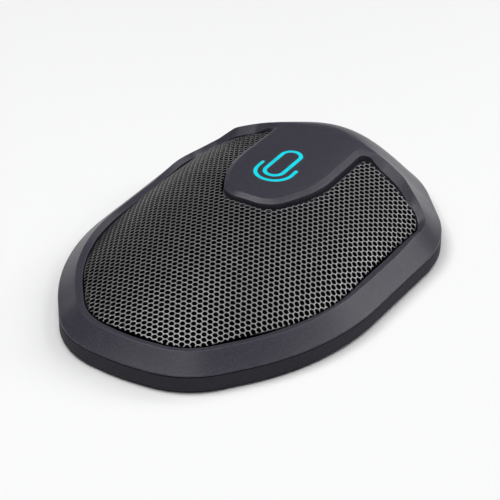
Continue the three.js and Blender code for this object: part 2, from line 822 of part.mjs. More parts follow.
function makeSocketShell() {
  const width = socketWidth - 2 * socketSkin;
  const height = socketHeight - 2 * socketSkin;
  const hollow = obroundAlongY(width, height, socketFrontY + socketBack, socketRearY + overrun);
  return obroundAlongY(socketWidth, socketHeight, socketFrontY, socketRearY).subtract(hollow);
}

function makeContactBlock() {
  const frontY = socketFrontY + socketBack + solderGap;
  const inset = socketSkin + solderGap;
  const base = obroundAlongY(
    socketWidth - 2 * inset, socketHeight - 2 * inset, frontY, frontY + contactBlockLength);
  const low = socketZ - contactTongueThickness / 2;
  const length = contactBlockLength + contactTongueLength;
  return base.add(block(contactTongueWidth, length, contactTongueThickness, 0, frontY + length / 2, low));
}

// Ribbon: from the touch connector's mouth forwards, down, and forwards into the main connector
function makeRibbon() {
  const startY = touchConnectorY - connectorLength / 2 - fitGap;
  const startZ = touchBoardZ - solderGap - touchConnectorHeight / 2;
  const endY = mainConnectorY + connectorLength / 2 + fitGap;
  const endZ = boardTopZ + solderGap + mainConnectorHeight / 2;
  const middleY = (startY + endY) / 2;
  const bend = (startY - endY) / 4;
  const path = new THREE.CatmullRomCurve3([
    new THREE.Vector3(startY, startZ, 0),
    new THREE.Vector3(startY - bend, startZ, 0),
    new THREE.Vector3(middleY, startZ - bend, 0),
    new THREE.Vector3(middleY, endZ + bend, 0),
    new THREE.Vector3(endY + bend, endZ, 0),
    new THREE.Vector3(endY, endZ, 0),
  ]);
  const sides = [ribbonThickness / 2, -ribbonThickness / 2].map((offset) => Array.from(
    { length: ribbonSteps + 1 },
    (_, step) => {
      const point = path.getPoint(step / ribbonSteps);
      const heading = path.getTangent(step / ribbonSteps);
      return new THREE.Vector2(point.x - heading.y * offset, point.y + heading.x * offset);
    },
  ));
  const shape = new THREE.Shape([...sides[0], ...sides[1].reverse()]);
  const geometry = new THREE.ExtrudeGeometry(shape, { depth: ribbonWidth, bevelEnabled: false });
  geometry.rotateX(Math.PI / 2).rotateZ(Math.PI / 2).translate(-ribbonWidth / 2, 0, 0);
  return solid(geometry);
}

// A cross-head screw that points up, with the underside of its head at z = 0
function makeScrew({ headRadius, headHeight, shankRadius, shankLength, recessWidth }) {
  const shape = turned([
    [0, -headHeight],
    [headRadius, -headHeight],
    [headRadius, 0],
    [shankRadius, 0],
    [shankRadius, shankLength - shankRadius],
    [0, shankLength],
  ], smallSides);
  const arm = 2 * headRadius * recessShare;
  const low = -headHeight - headHeight / 2;
  return shape
    .subtract(block(arm, recessWidth, headHeight, 0, 0, low))
    .subtract(block(recessWidth, arm, headHeight, 0, 0, low));
}

function makeFoot() {
  const height = footProud + footPocketDepth - fitGap;
  return turned([
    [0, 0],
    [footRadius - footEdge, 0],
    [footRadius, footEdge],
    [footRadius, height],
    [0, height],
  ]);
}

function makeCapacitor() {
  const base = block(2 * capacitorRadius, 2 * capacitorRadius, capacitorBase, 0, 0, 0);
  return base.add(cylinder(capacitorRadius, capacitorBase / 2, capacitorHeight));
}

const finishes = {
  cover: { color: 0x3d3c43, roughness: 0.42, metalness: 0 },
  tray: { color: 0x34343a, roughness: 0.5, metalness: 0 },
  grille: { color: 0x8b8b8d, roughness: 0.38, metalness: 0.85 },
  cloth: { color: 0x0c0c0e, roughness: 0.95, metalness: 0 },
  symbol: { color: 0x23ebfa, roughness: 0.4, metalness: 0, emissive: 0x12c8dc },
  board: { color: 0x14523a, roughness: 0.45, metalness: 0 },
  chip: { color: 0x16171a, roughness: 0.55, metalness: 0 },
  header: { color: 0xe9e4d4, roughness: 0.5, metalness: 0 },
  lamp: { color: 0xf2efe0, roughness: 0.3, metalness: 0 },
  metal: { color: 0xb9bcc0, roughness: 0.3, metalness: 1 },
  screw: { color: 0x5c5e63, roughness: 0.35, metalness: 1 },
  ballast: { color: 0x85888d, roughness: 0.4, metalness: 1 },
  rubber: { color: 0x18181a, roughness: 0.9, metalness: 0 },
  ribbon: { color: 0xd9dadd, roughness: 0.5, metalness: 0 },
  lead: { color: 0x2a2a2d, roughness: 0.6, metalness: 0 },
};

const microphone = new THREE.Group();

function place(name, shape, finish, position = [0, 0, 0], flipped = false) {
  const { vertProperties, triVerts } = shape.getMesh();
  const geometry = new THREE.BufferGeometry();
  geometry.setAttribute('position', new THREE.BufferAttribute(vertProperties, 3));
  geometry.setIndex(new THREE.BufferAttribute(triVerts, 1));
  geometry.computeVertexNormals();
  const mesh = new THREE.Mesh(geometry, new THREE.MeshStandardMaterial(finishes[finish]));
  mesh.name = name;
  mesh.position.set(...position);
  mesh.rotation.x = flipped ? Math.PI : 0;
  microphone.add(mesh);
}

place('top_cover', makeTopCover(), 'cover');
place('grille', makeGrille(), 'grille');
place('acoustic_cloth', makeCloth(), 'cloth');
place('icon_ring', makeInlay(capsuleShape(capsuleStroke / 2), capsuleLegs), 'symbol');
place('icon_cradle', makeInlay(bowShape(bowStroke / 2), bowLegs), 'symbol');
place('bottom_cover', makeTray(), 'tray');

place('touch_board', makeTouchBoard(), 'board');
[...capsuleLegs, ...bowLegs].forEach(([x, y], index) => {
  place(`led_${index + 1}`, block(ledWidth, ledLength, ledHeight, x, y, touchTopZ + solderGap), 'lamp');
});
const touchScrewZ = touchBoardZ - solderGap;
touchPlaces.forEach(([x, y], index) => {
  place(`touch_board_screw_${index + 1}`, makeScrew(smallScrew), 'screw', [x, y, touchScrewZ]);
});
const touchConnectorZ = touchBoardZ - solderGap - touchConnectorHeight;
const touchConnector = block(
  connectorWidth, connectorLength, touchConnectorHeight, 0, touchConnectorY, touchConnectorZ);
place('touch_board_connector', touchConnector, 'header');
place('ribbon_cable', makeRibbon(), 'ribbon');

place('main_board', makeMainBoard(), 'board');
const partZ = boardTopZ + solderGap;
boardPlaces.forEach(([x, y], index) => {
  place(`main_board_screw_${index + 1}`, makeScrew(smallScrew), 'screw', [x, y, partZ], true);
});
const mainConnector = block(connectorWidth, connectorLength, mainConnectorHeight, 0, mainConnectorY, partZ);
place('main_board_connector', mainConnector, 'header');
place('codec_chip', block(chipSize, chipSize, chipHeight, 0, chipY, partZ), 'chip');
place('crystal', block(crystalLength, crystalWidth, crystalHeight, crystalX, crystalY, partZ), 'metal');
[capacitorFrontY, capacitorRearY].forEach((y, index) => {
  place(`capacitor_${index + 1}`, makeCapacitor(), 'metal', [capacitorX, y, partZ]);
});
place('usb_socket_shell', makeSocketShell(), 'metal');
place('usb_socket_tongue', makeContactBlock(), 'chip');

bothSides.forEach((side) => {
  const name = side < 0 ? 'left' : 'right';
  place(`mic_boot_${name}`, makeBoot(), 'rubber', [side * micX, micY, 0]);
  place(`mic_capsule_${name}`, makeCapsule(), 'metal', [side * micX, micY, 0]);
  place(`mic_lead_${name}`, makeLead(side), 'lead');
  const header = block(headerWidth, headerLength, headerHeight, side * headerX, headerY, partZ);
  place(`mic_header_${name}`, header, 'header');
});

place('ballast_plate', makePlate(), 'ballast');
const plateScrewZ = plateZ + plateThickness + solderGap;
platePlaces.forEach(([x, y], index) => {
  place(`ballast_screw_${index + 1}`, makeScrew(plateScrew), 'screw', [x, y, plateScrewZ], true);
});

joinPlaces.forEach(([x, y], index) => {
  place(`base_screw_${index + 1}`, makeScrew(joinScrew), 'screw', [x, y, joinScrewZ]);
});
footPlaces.forEach(([x, y], index) => {
  place(`foot_${index + 1}`, makeFoot(), 'rubber', [x, y, 0]);
});

export default microphone;
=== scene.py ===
"""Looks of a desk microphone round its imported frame: covers, grille, liner, lit symbol and studio."""

import json
import math

import bmesh
import bpy
import numpy as np
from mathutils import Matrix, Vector
from mathutils.geometry import delaunay_2d_cdt


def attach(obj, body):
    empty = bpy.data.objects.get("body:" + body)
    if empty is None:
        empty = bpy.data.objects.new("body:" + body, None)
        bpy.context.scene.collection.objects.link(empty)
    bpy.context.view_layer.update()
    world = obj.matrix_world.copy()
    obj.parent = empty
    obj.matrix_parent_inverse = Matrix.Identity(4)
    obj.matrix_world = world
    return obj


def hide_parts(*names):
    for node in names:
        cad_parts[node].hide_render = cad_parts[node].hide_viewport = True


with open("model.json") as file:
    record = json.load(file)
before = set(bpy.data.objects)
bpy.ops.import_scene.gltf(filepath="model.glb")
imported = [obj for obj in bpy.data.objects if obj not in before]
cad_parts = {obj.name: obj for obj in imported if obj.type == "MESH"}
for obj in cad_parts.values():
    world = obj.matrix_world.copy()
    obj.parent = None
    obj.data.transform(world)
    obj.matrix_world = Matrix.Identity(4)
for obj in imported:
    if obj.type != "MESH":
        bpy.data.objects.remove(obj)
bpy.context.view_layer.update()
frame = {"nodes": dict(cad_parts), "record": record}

# Lengths are in millimetres until a mesh is made
MM = 0.001


def both_sides(*right):
    """Places on the left and the right, from those on the right."""
    return [(-x, y) for x, y in right] + list(right)


# Plan outline of the body: x, y and radius of the corners of its right half, nose to tail
BODY_RIGHT = [
    (0.0, -67.2, 60.0), (19.6, -65.2, 25.0), (44.6, -32.8, 70.0), (45.3, 33.8, 36.0), (0.0, 86.8, 36.9),
]

# Rim, where the cover meets the band of the tray
BAND_LOW = 0.6
RIM_Z = 5.4
RIM_LAND = 0.22
RIM_LAND_RUN = 1.2
RIM_EASE = 0.1
RIM_EASE_RUN = 0.14

# Bevel from the rim up to the crest round the opening
CREST_RISE = 0.82
CREST_GAIN = 0.033
CREST_LIFT = 1.3
LIFT_FROM_Y = 11.0
LIFT_RUN = 19.0
BEVEL_BULGE = 0.8
BULGE_FROM = 12.0
BULGE_RUN = 14.0
INNER_SLOPE = 1.0
REAR_FILLET = 0.6
CREST_FILLET = 0.12

# Crowned face of the grille, and the arch of the cover over it
CROWN_TOP = 23.5
CROWN_FLAT_Y = 21.2
CROWN_ALONG = 250.0
CROWN_FRONT_Y = -58.8
CROWN_REAR_Y = 36.2
CROSS_FRONT = 85.0
CROSS_REAR = 59.0
COVER_CROSS_REAR = 70.0
FLANK_X = 24.0
FLANK_RUN = 14.3
FLANK_DROP = 2.0
TONGUE_RISE = 1.7

# Inner face of the cover
COVER_WALL = 2.76
COVER_CLEARANCE = 0.3
COLLAR = 1.5
COLLAR_DEPTH = 3.1
COLLAR_OVER_RIM = 0.5

# Opening for the grille and the sloped lip round it
RING_WIDTH = 4.9
LIP_WIDTH = 2.0
RING_DROP = 0.4
TONGUE_DROP = 1.0
TONGUE_GAP = 0.2
TONGUE_CHAMFER = 1.6
GAP_DEPTH = 1.2
GAP_WALL = 0.06
LIP_CLEARANCE = 0.12
LIP_ROUND = 0.12
TONGUE_HALF = [(14.8, 38.2, 2.5), (15.3, 11.2, 32.0), (7.8, -3.4, 8.5)]
SHOULDER_Y = 31.4
SHOULDER_ROUND = 8.0
SHOULDER_EASE = 1.0
REAR_CREST = (0.0, 45.5, 90.0)
HEEL_X = 17.0
HEEL_Y = 27.0
HEEL_RUN = 4.0
HEEL_CHAMFER = 2.5
HEEL_DROP = 2.0

# Perforated sheet
PITCH = 1.7
ROW_GAP = PITCH * math.sqrt(3) / 2
LATTICE_Y = -13.8
HOLE_FLAT = 0.7
HOLE_EASE = 0.04
HOLE_CORNER = math.radians(13)
HOLE_OVERLAP = 0.05
SHEET = 0.35
GRILLE_GAP = 0.4
GRILLE_ROLL = 0.5
GRILLE_ROLL_DEPTH = 0.15

# Liner
CLOTH_INSET = 1.5
CLOTH_DEPTH = 1.1
CLOTH_THICKNESS = 0.35

# Symbol
SYMBOL_Y = 12.4
CAPSULE_RADIUS = 2.85
CAPSULE_RUN = 9.0
CAPSULE_STROKE = 1.08
BOW_RADIUS = 5.5
BOW_LEG = 2.6
BOW_STROKE = 0.98
INLAY_GAP = 0.07
INLAY_UNDER = 0.15
GROOVE = 1.0
LEG_RADIUS = 0.45
LEG_CLEARANCE = 0.1
LEG_Z = 20.7
LEG_TOP = 23.9
CAPSULE_LEGS = both_sides((2.85, 17.0))
BOW_LEGS = both_sides((4.76, 9.65))

# Section of the tray from its bottom face up the band and down inside: inset and height
TRAY_FLOOR = 2.4
TRAY_LIP = 5.8
BOTTOM_INSET = 0.9
FLOOR_INSET = 2.7
BAND_PROFILE = [
    (BOTTOM_INSET, BAND_LOW), (0.6, 0.63), (0.3, 0.74), (0.1, 0.93), (0.0, 1.2), (0.0, 4.92),
    (0.03, 5.02), (0.12, 5.08), (0.25, 5.1), (1.9, 5.1), (2.0, 5.2), (2.0, 5.7), (2.1, TRAY_LIP),
    (2.6, TRAY_LIP), (FLOOR_INSET, 5.7), (FLOOR_INSET, TRAY_FLOOR),
]

# Round bosses, bores and recesses: radius, height of the end and number of sides
COVER_BOSS = (3.0, 6.1, 32)
COVER_BORE = (1.35, 8.7, 20)
TOUCH_BOSS = (1.9, 19.5, 24)
TOUCH_BORE = (0.95, 21.3, 16)
FOOT_RECESS = (5.8, 1.6, 64)
SCREW_RECESS = (2.6, 2.6, 40)
SCREW_HOLE = (1.5, 5.2, 24)
TRAY_BOSS = (3.4, TRAY_LIP, 32)
BOARD_POST = (2.2, 3.1, 24)
JOIN_PLACES = both_sides((23.9, -50.4), (27.0, 43.0))
FOOT_PLACES = both_sides((28.0, -38.0), (27.5, 30.5))
BOARD_PLACES = both_sides((16.8, 8.0), (16.8, 40.0))
TOUCH_PLACES = both_sides((7.1, 6.7), (7.1, 33.6))

# Rings on the tray that hold the microphone capsules
MIC_PLACES = both_sides((20.0, -20.0))
HOLDER_OUTER = 7.95
HOLDER_INNER = 6.65
HOLDER_SLOT_HALF = 1.3
HOLDER_TOP = 8.9

# Feet and screws: radius and height up their turned sections
FOOT_PROFILE = [(4.9, 0.0), (5.2, 0.06), (5.42, 0.22), (5.5, 0.45), (5.5, 1.3)]
SCREW_PROFILE = [
    (1.9, 1.0), (2.15, 1.06), (2.28, 1.2), (2.3, 1.4), (2.3, 2.3), (1.2, 2.3), (1.2, 7.1), (0.4, 8.3),
]
CROSS_LENGTH_HALF = 1.4
CROSS_WIDTH_HALF = 0.27
CROSS_TAPER = 0.8
CROSS_LOW = 0.5
CROSS_TOP = 1.7

# Socket
SOCKET_Z = 4.0
SOCKET_WIDTH = 8.9
SOCKET_HEIGHT = 3.2
SOCKET_REAR_Y = 66.3
SOCKET_LENGTH = 7.4
SOCKET_SLOT_GAP = 0.25
SOCKET_SLOT_REAR_Y = 72.0
SOCKET_SKIN = 0.3
SOCKET_BACK = 0.8
SOCKET_EDGE = 0.05
SOCKET_EDGE_RUN = 0.06

# Mesh densities, and insets and outsets of the lines that a surface's mesh keeps to
LOOP_STEP = 0.8
FILL_STEP = 0.9
UNDER_STEP = 2.4
TRAY_STEP = 3.0
CLOTH_STEP = 2.0
INLAY_STEP = 0.5
INLAY_UNDER_STEP = 1.0
ARC_DEGREES = 9
ROW_SHARE = 0.866
CLEAR_SHARE = 0.45
RIM_GUIDES = (0.07, 0.16, 0.5)
EDGE_GUIDES = (0.12, 0.18, 0.26)
LIP_GUIDES = (-0.35, -0.18, -0.08, 0.0, 0.08, 0.18, 0.35)
UNDER_GUIDE = 2.9
ROLL_GUIDE = 0.25

# Tolerances, and how many points and steps the arithmetic takes at a time
WELD = 0.002
SAME_POINT = 1e-6
STRAIGHT = 0.99999
TINY = 1e-9
ON_EDGE = 0.02
DECIMALS = 4
CHUNK = 4000
BENT_STEPS = 5


# Plan curves

def mirrored(right):
    """All corners of an outline from those of its right half."""
    return right + [(-x, y, r) for x, y, r in reversed(right) if x > 0]


def left_of(direction):
    """A direction turned a quarter turn to the left."""
    return np.array([-direction[1], direction[0]])


def corner_edges(corners, index):
    """A corner's place and the directions of the edges that arrive at it and leave it."""
    here = np.array(corners[index][:2])
    arriving = here - np.array(corners[index - 1][:2])
    leaving = np.array(corners[(index + 1) % len(corners)][:2]) - here
    return here, arriving / np.linalg.norm(arriving), leaving / np.linalg.norm(leaving)


def inset_corner(corners, index, distance):
    """A corner moved inwards with the two edges that meet there."""
    here, arriving, leaving = corner_edges(corners, index)
    inward = left_of(arriving) + left_of(leaving)
    inward /= np.linalg.norm(inward)
    place = here + inward * distance / (inward @ left_of(arriving))
    return float(place[0]), float(place[1]), corners[index][2] - distance


def filled(points, normals, step):
    """An outline's points and normals, with more along its straight stretches."""
    full_points, full_normals = [], []
    for index, here in enumerate(points):
        after = (index + 1) % len(points)
        gap = np.linalg.norm(points[after] - here)
        if gap < SAME_POINT:
            continue
        straight = normals[index] @ normals[after] > STRAIGHT
        parts = max(1, math.ceil(gap / step)) if straight else 1
        for part in range(parts):
            full_points.append(here + (points[after] - here) * part / parts)
            full_normals.append(normals[index])
    return np.array(full_points), np.array(full_normals)


def rounded(corners, step=LOOP_STEP):
    """Points and outward normals of an outline with rounded corners, anticlockwise."""
    points, normals = [], []
    for index, (_, _, radius) in enumerate(corners):
        here, arriving, leaving = corner_edges(corners, index)
        turn = math.atan2(arriving[0] * leaving[1] - arriving[1] * leaving[0], arriving @ leaving)
        bend = math.copysign(radius, turn)
        setback = radius * math.tan(abs(turn) / 2)
        centre = here - arriving * setback + left_of(arriving) * bend
        by_length = math.ceil(abs(turn) * radius / step)
        by_angle = math.ceil(math.degrees(abs(turn)) / ARC_DEGREES)
        steps = max(2, by_length, by_angle)
        start = math.atan2(-arriving[0], arriving[1])
        for part in range(steps + 1):
            angle = start + turn * part / steps
            normal = np.array([math.cos(angle), math.sin(angle)])
            points.append(centre + normal * bend)
            normals.append(normal)
    return filled(points, normals, step)


def circle(x, y, radius, sides):
    """Anticlockwise points round a circle."""
    angles = np.arange(sides) * 2 * math.pi / sides
    return np.c_[x + radius * np.cos(angles), y + radius * np.sin(angles)]


def arc(x, y, radius, start, end, steps):
    """Points along an arc from one angle to another, in degrees."""
    angles = np.radians(np.linspace(start, end, steps + 1))
    return np.c_[x + radius * np.cos(angles), y + radius * np.sin(angles)]


def capsule_loop(radius):
    """Outline of the symbol's capsule."""
    upper = SYMBOL_Y + CAPSULE_RUN
    return np.vstack([arc(0, SYMBOL_Y, radius, 180, 360, steps=24), arc(0, upper, radius, 0, 180, steps=24)])


def bow_loop(half):
    """Outline of the symbol's bow with round ends, from half its stroke."""
    top = SYMBOL_Y + BOW_LEG
    return np.vstack([
        arc(0, SYMBOL_Y, BOW_RADIUS + half, 180, 360, steps=36),
        arc(BOW_RADIUS, top, half, 0, 180, steps=10),
        arc(0, SYMBOL_Y, BOW_RADIUS - half, 360, 180, steps=32),
        arc(-BOW_RADIUS, top, half, 0, 180, steps=10),
    ])


def holder_loop(x, y):
    """Ring round a microphone capsule, open towards the rear for the lead."""
    outer_end = math.degrees(math.acos(HOLDER_SLOT_HALF / HOLDER_OUTER))
    inner_end = math.degrees(math.acos(HOLDER_SLOT_HALF / HOLDER_INNER))
    return np.vstack([
        arc(x, y, HOLDER_OUTER, 180 - outer_end - 360, outer_end, steps=40),
        arc(x, y, HOLDER_INNER, inner_end, 180 - inner_end - 360, steps=36),
    ])


def nearest(points, loop):
    """Distance from each point to a closed polyline, with the segment and the share along it."""
    ends = np.roll(loop, -1, axis=0)
    along = ends - loop
    length2 = np.maximum((along ** 2).sum(1), TINY)
    distance = np.empty(len(points))
    segment = np.empty(len(points), int)
    share = np.empty(len(points))
    for first in range(0, len(points), CHUNK):
        chunk = points[first:first + CHUNK]
        offset = chunk[:, None, :] - loop
        t = np.clip((offset * along).sum(-1) / length2, 0, 1)
        gap = ((offset - t[..., None] * along) ** 2).sum(-1)
        best = gap.argmin(1)
        rows = np.arange(len(chunk))
        distance[first:first + CHUNK] = np.sqrt(gap[rows, best])
        segment[first:first + CHUNK] = best
        share[first:first + CHUNK] = t[rows, best]
    return distance, segment, share


def inside(points, loop):
    """True for each point inside a closed polyline."""
    ends = np.roll(loop, -1, axis=0)
    rise = ends[:, 1] - loop[:, 1]
    rise = np.where(rise == 0, TINY, rise)
    result = np.zeros(len(points), bool)
    for first in range(0, len(points), CHUNK):
        x = points[first:first + CHUNK, 0][:, None]
        y = points[first:first + CHUNK, 1][:, None]
        spans = (loop[:, 1] > y) != (ends[:, 1] > y)
        cross = x < loop[:, 0] + (y - loop[:, 1]) * (ends[:, 0] - loop[:, 0]) / rise
        result[first:first + CHUNK] = (spans & cross).sum(1) % 2 == 1
    return result


def between(points, boundaries):
    """True for each point inside the first boundary and outside the rest."""
    keep = inside(points, boundaries[0])
    for loop in boundaries[1:]:
        keep &= ~inside(points, loop)
    return keep


def on_loop(values, segment, share):
    """Values at places on a loop, each place given by its segment and the share along it."""
    return values[segment] * (1 - share) + values[(segment + 1) % len(values)] * share


def smooth_min(a, b, width):
    """The lower of two heights, with a fillet of about that width where they cross."""
    share = np.clip(0.5 + 0.5 * (b - a) / width, 0, 1)
    return b + (a - b) * share - width * share * (1 - share)


def blend(first, second, share):
    """The value that far on the way from the first to the second."""
    return first + (second - first) * share


# Outlines of the body, the opening and the crest

def front_corners(inset):
    """The first three corners of the body's right half moved inwards."""
    corners = [inset_corner(BODY_CORNERS, index, inset) for index in range(3)]
    corners[0] = (0.0,) + corners[0][1:]
    return corners


BODY_CORNERS = mirrored(BODY_RIGHT)
BODY, BODY_NORMALS = rounded(BODY_CORNERS)

SIDE_X = BODY_RIGHT[3][0]
RING_INSET = RING_WIDTH + LIP_WIDTH
SHOULDER = (SIDE_X - RING_INSET, SHOULDER_Y, SHOULDER_ROUND)
OPENING, OPENING_NORMALS = rounded(mirrored(front_corners(RING_INSET) + [SHOULDER] + TONGUE_HALF))
SHOULDER_CREST = (SIDE_X - RING_WIDTH, SHOULDER_Y + LIP_WIDTH, SHOULDER_ROUND + LIP_WIDTH + SHOULDER_EASE)
CREST = rounded(mirrored(front_corners(RING_WIDTH) + [SHOULDER_CREST, REAR_CREST]))[0]


def body_loop(inset):
    """Outline of the body moved inwards."""
    return BODY - BODY_NORMALS * inset


def opening_loop(outset):
    """Outline of the opening moved outwards, by one distance or one for each point."""
    return OPENING + OPENING_NORMALS * np.reshape(outset, (-1, 1))


# Heights

def cross_curvature(y, cross_rear):
    """Curvature across, which changes evenly from the front of the crown to its rear."""
    rear = (y - CROWN_FRONT_Y) / (CROWN_REAR_Y - CROWN_FRONT_Y)
    return blend(1 / CROSS_FRONT, 1 / cross_rear, rear)


def arch(points, cross_rear=COVER_CROSS_REAR):
    """Arch that the cover's top follows, flatter across at the rear than the grille."""
    x, y = points[:, 0], points[:, 1]
    fall = np.maximum(0, CROWN_FLAT_Y - y)
    return CROWN_TOP - fall ** 2 / (2 * CROWN_ALONG) - cross_curvature(y, cross_rear) * x ** 2 / 2


def crown(points):
    """Outer face of the grille, which falls away from the arch at both sides."""
    flank = np.maximum(0, abs(points[:, 0]) - FLANK_X) / FLANK_RUN
    return arch(points, CROSS_REAR) - FLANK_DROP * flank ** 2


CREST_DEPTH = nearest(CREST, BODY)[0]
CREST_STEP = CREST_LIFT * np.clip((CREST[:, 1] - LIFT_FROM_Y) / LIFT_RUN, 0, 1)
CREST_SLOPE = CREST_RISE * CREST_DEPTH + CREST_GAIN * CREST_DEPTH ** 2 + CREST_STEP
CREST_Z = np.minimum(arch(CREST) + TONGUE_RISE, RIM_Z + CREST_SLOPE)


def bevel(points):
    """Skin from the rim up to the crest, bulging where it is wide, and steep inside the crest."""
    depth = nearest(points, BODY)[0]
    inner, segment, share = nearest(points, CREST)
    crest_z = on_loop(CREST_Z, segment, share)
    width = on_loop(CREST_DEPTH, segment, share)
    bulge = BEVEL_BULGE * np.clip((width - BULGE_FROM) / BULGE_RUN, 0, 1)
    part = depth / (depth + inner + TINY)
    slope = RIM_Z + (crest_z - RIM_Z) * part * (1 + bulge * (1 - part))
    height = np.where(inside(points, CREST), crest_z + INNER_SLOPE * inner, slope)
    land = RIM_LAND * np.exp(-depth / RIM_LAND_RUN)
    ease = RIM_EASE * np.clip(1 - depth / RIM_EASE_RUN, 0, 1) ** 2
    return height + land - ease


def shell_top(points):
    """Bevel and tongue in one skin, before the lip is cut."""
    return smooth_min(bevel(points), arch(points) + TONGUE_RISE, REAR_FILLET)


# Lip for each point of the opening, steeper at the tongue and its heels than round the ring
LIP_SPARE = shell_top(opening_loop(LIP_WIDTH)) - crown(OPENING) - LIP_CLEARANCE - RING_DROP
LIP_STEP = np.clip(LIP_SPARE, 0, 1)
LIP_GAP = TONGUE_GAP * LIP_STEP
HEEL_ACROSS = np.clip((abs(OPENING[:, 0]) - HEEL_X) / HEEL_RUN, 0, 1)
HEEL_ALONG = np.clip((OPENING[:, 1] - HEEL_Y) / HEEL_RUN, 0, 1)
STEP_CHAMFER = blend(TONGUE_CHAMFER, HEEL_CHAMFER, HEEL_ACROSS * HEEL_ALONG)
STEP_DROP = blend(TONGUE_DROP, HEEL_DROP, HEEL_ACROSS * HEEL_ALONG)
LIP_REACH = blend(LIP_WIDTH, TONGUE_GAP + STEP_CHAMFER, LIP_STEP)
LIP_SLOPE = blend(RING_DROP / LIP_WIDTH, STEP_DROP / STEP_CHAMFER, LIP_STEP)
LIP_TOP = shell_top(opening_loop(LIP_REACH))


def cover_top(points):
    """Outer face of the cover, with the sloped lip round the opening."""
    outset, segment, share = nearest(points, OPENING)
    lip_top, reach, slope, gap = (
        on_loop(values, segment, share) for values in (LIP_TOP, LIP_REACH, LIP_SLOPE, LIP_GAP)
    )
    lip = lip_top + (outset - reach) * slope
    height = smooth_min(shell_top(points), lip, CREST_FILLET)
    edge = np.clip(LIP_ROUND - (outset - gap), 0, LIP_ROUND)
    return height - (LIP_ROUND - np.sqrt(LIP_ROUND ** 2 - edge ** 2))


def gap_floor(points):
    """Recess between the edge of the cover and the grille."""
    return crown(points) - GAP_DEPTH


def groove_floor(points):
    """Bottom of the grooves that the symbol's inlays lie in."""
    return arch(points) + TONGUE_RISE - GROOVE


def cover_under(points):
    """Inner face of the cover."""
    return np.maximum(RIM_Z, np.minimum(bevel(points) - COVER_WALL, crown(points) - COVER_CLEARANCE))


def collar_under(points):
    """Lower end of the collar round the opening."""
    return np.maximum(RIM_Z + COLLAR_OVER_RIM, crown(points) - COLLAR_DEPTH)


def flat(z):
    """Height function of a level face."""
    return lambda points: np.full(len(points), float(z))


# Surfaces over the plan, and solids between two of them

def triangulated(loops, loose=(), weld=1e-5, sliver=1e-9):
    """Plan points and anticlockwise triangles that keep to the loops and take in the loose points."""
    coords, edges = [], []
    for loop in loops:
        first = len(coords)
        coords += [Vector(point) for point in loop]
        edges += [(first + i, first + (i + 1) % len(loop)) for i in range(len(loop))]
    coords += [Vector(point) for point in loose]
    found, _, triangles, *_ = delaunay_2d_cdt(coords, edges, [], 0, weld, False)
    plan = np.array([tuple(point) for point in found])
    triangles = np.array([face for face in triangles if len(face) == 3])
    a, b, c = (plan[triangles[:, corner]] for corner in range(3))
    area = (b[:, 0] - a[:, 0]) * (c[:, 1] - a[:, 1]) - (b[:, 1] - a[:, 1]) * (c[:, 0] - a[:, 0])
    triangles[area < 0] = triangles[area < 0][:, ::-1]
    return plan, triangles[abs(area) > sliver]


def staggered(boundaries, loops, step):
    """Staggered rows of points between the boundaries, clear of all the loops."""
    low, high = boundaries[0].min(0), boundaries[0].max(0)
    columns = np.arange(low[0], high[0], step)
    rows = np.arange(low[1], high[1], step * ROW_SHARE)
    grid = np.array([(x + (row % 2) * step / 2, y) for row, y in enumerate(rows) for x in columns])
    grid = grid[between(grid, boundaries)]
    for loop in loops:
        grid = grid[nearest(grid, loop)[0] > step * CLEAR_SHARE]
    return grid


def surface(boundaries, heights, guides=(), levels=(), step=FILL_STEP):
    """Vertices, faces and outer edges of a surface inside the first boundary and outside the rest.

    levels is a list of (closed loop, height function), and heights holds outside them. Where two levels
    meet, a wall joins them.
    """
    loops = [*boundaries, *guides, *(loop for loop, _ in levels)]
    plan, triangles = triangulated(loops, staggered(boundaries, loops, step))
    triangles = triangles[between(plan[triangles].mean(1), boundaries)]
    middle = plan[triangles].mean(1)
    level = np.zeros(len(triangles), int)
    for number, (loop, _) in enumerate(levels, 1):
        level[inside(middle, loop)] = number
    vertices, index = [], {}
    for number, height in enumerate([heights] + [height for _, height in levels]):
        used = np.unique(triangles[level == number])
        if not len(used):
            continue
        for key, z in zip(used, height(plan[used])):
            index[(int(key), number)] = len(vertices)
            vertices.append((plan[key, 0], plan[key, 1], float(z)))
    faces = [tuple(index[(int(v), int(n))] for v in face) for face, n in zip(triangles, level)]
    side = {}
    for face, n in zip(triangles, level):
        for corner in range(3):
            side[(int(face[corner]), int(face[(corner + 1) % 3]))] = int(n)
    rim = []
    for (start, end), n in side.items():
        other = side.get((end, start))
        if other is None:
            rim.append((index[(start, n)], index[(end, n)]))
        elif other != n and start < end:
            faces.append((index[(start, other)], index[(end, other)], index[(end, n)], index[(start, n)]))
    return vertices, faces, rim


def plan_key(vertex):
    """A vertex's place in plan, the same for two surfaces."""
    return round(vertex[0], DECIMALS), round(vertex[1], DECIMALS)


def closed(upper, lower):
    """Vertices and faces of the solid between two surfaces with the same boundaries."""
    top, faces, rim = upper
    bottom, under, lower_rim = lower
    below = {plan_key(bottom[v]): v + len(top) for edge in lower_rim for v in edge}
    faces = faces + [tuple(v + len(top) for v in reversed(face)) for face in under]
    faces += [(below[plan_key(top[start])], below[plan_key(top[end])], end, start) for start, end in rim]
    return top + bottom, faces


def loft(rings, capped=True):
    """A skin over rings of equally many points."""
    count = len(rings[0])
    vertices = [tuple(point) for ring in rings for point in ring]
    faces = []
    for low in range(0, (len(rings) - 1) * count, count):
        for here in range(count):
            after = (here + 1) % count
            faces.append((low + here, low + after, low + count + after, low + count + here))
    if capped:
        faces.append(tuple(reversed(range(count))))
        faces.append(tuple(range(len(vertices) - count, len(vertices))))
    return vertices, faces


def turned(profile, x, y, sides):
    """A turned piece from its (radius, height) profile."""
    return loft([np.c_[circle(x, y, radius, sides), np.full(sides, z)] for radius, z in profile])


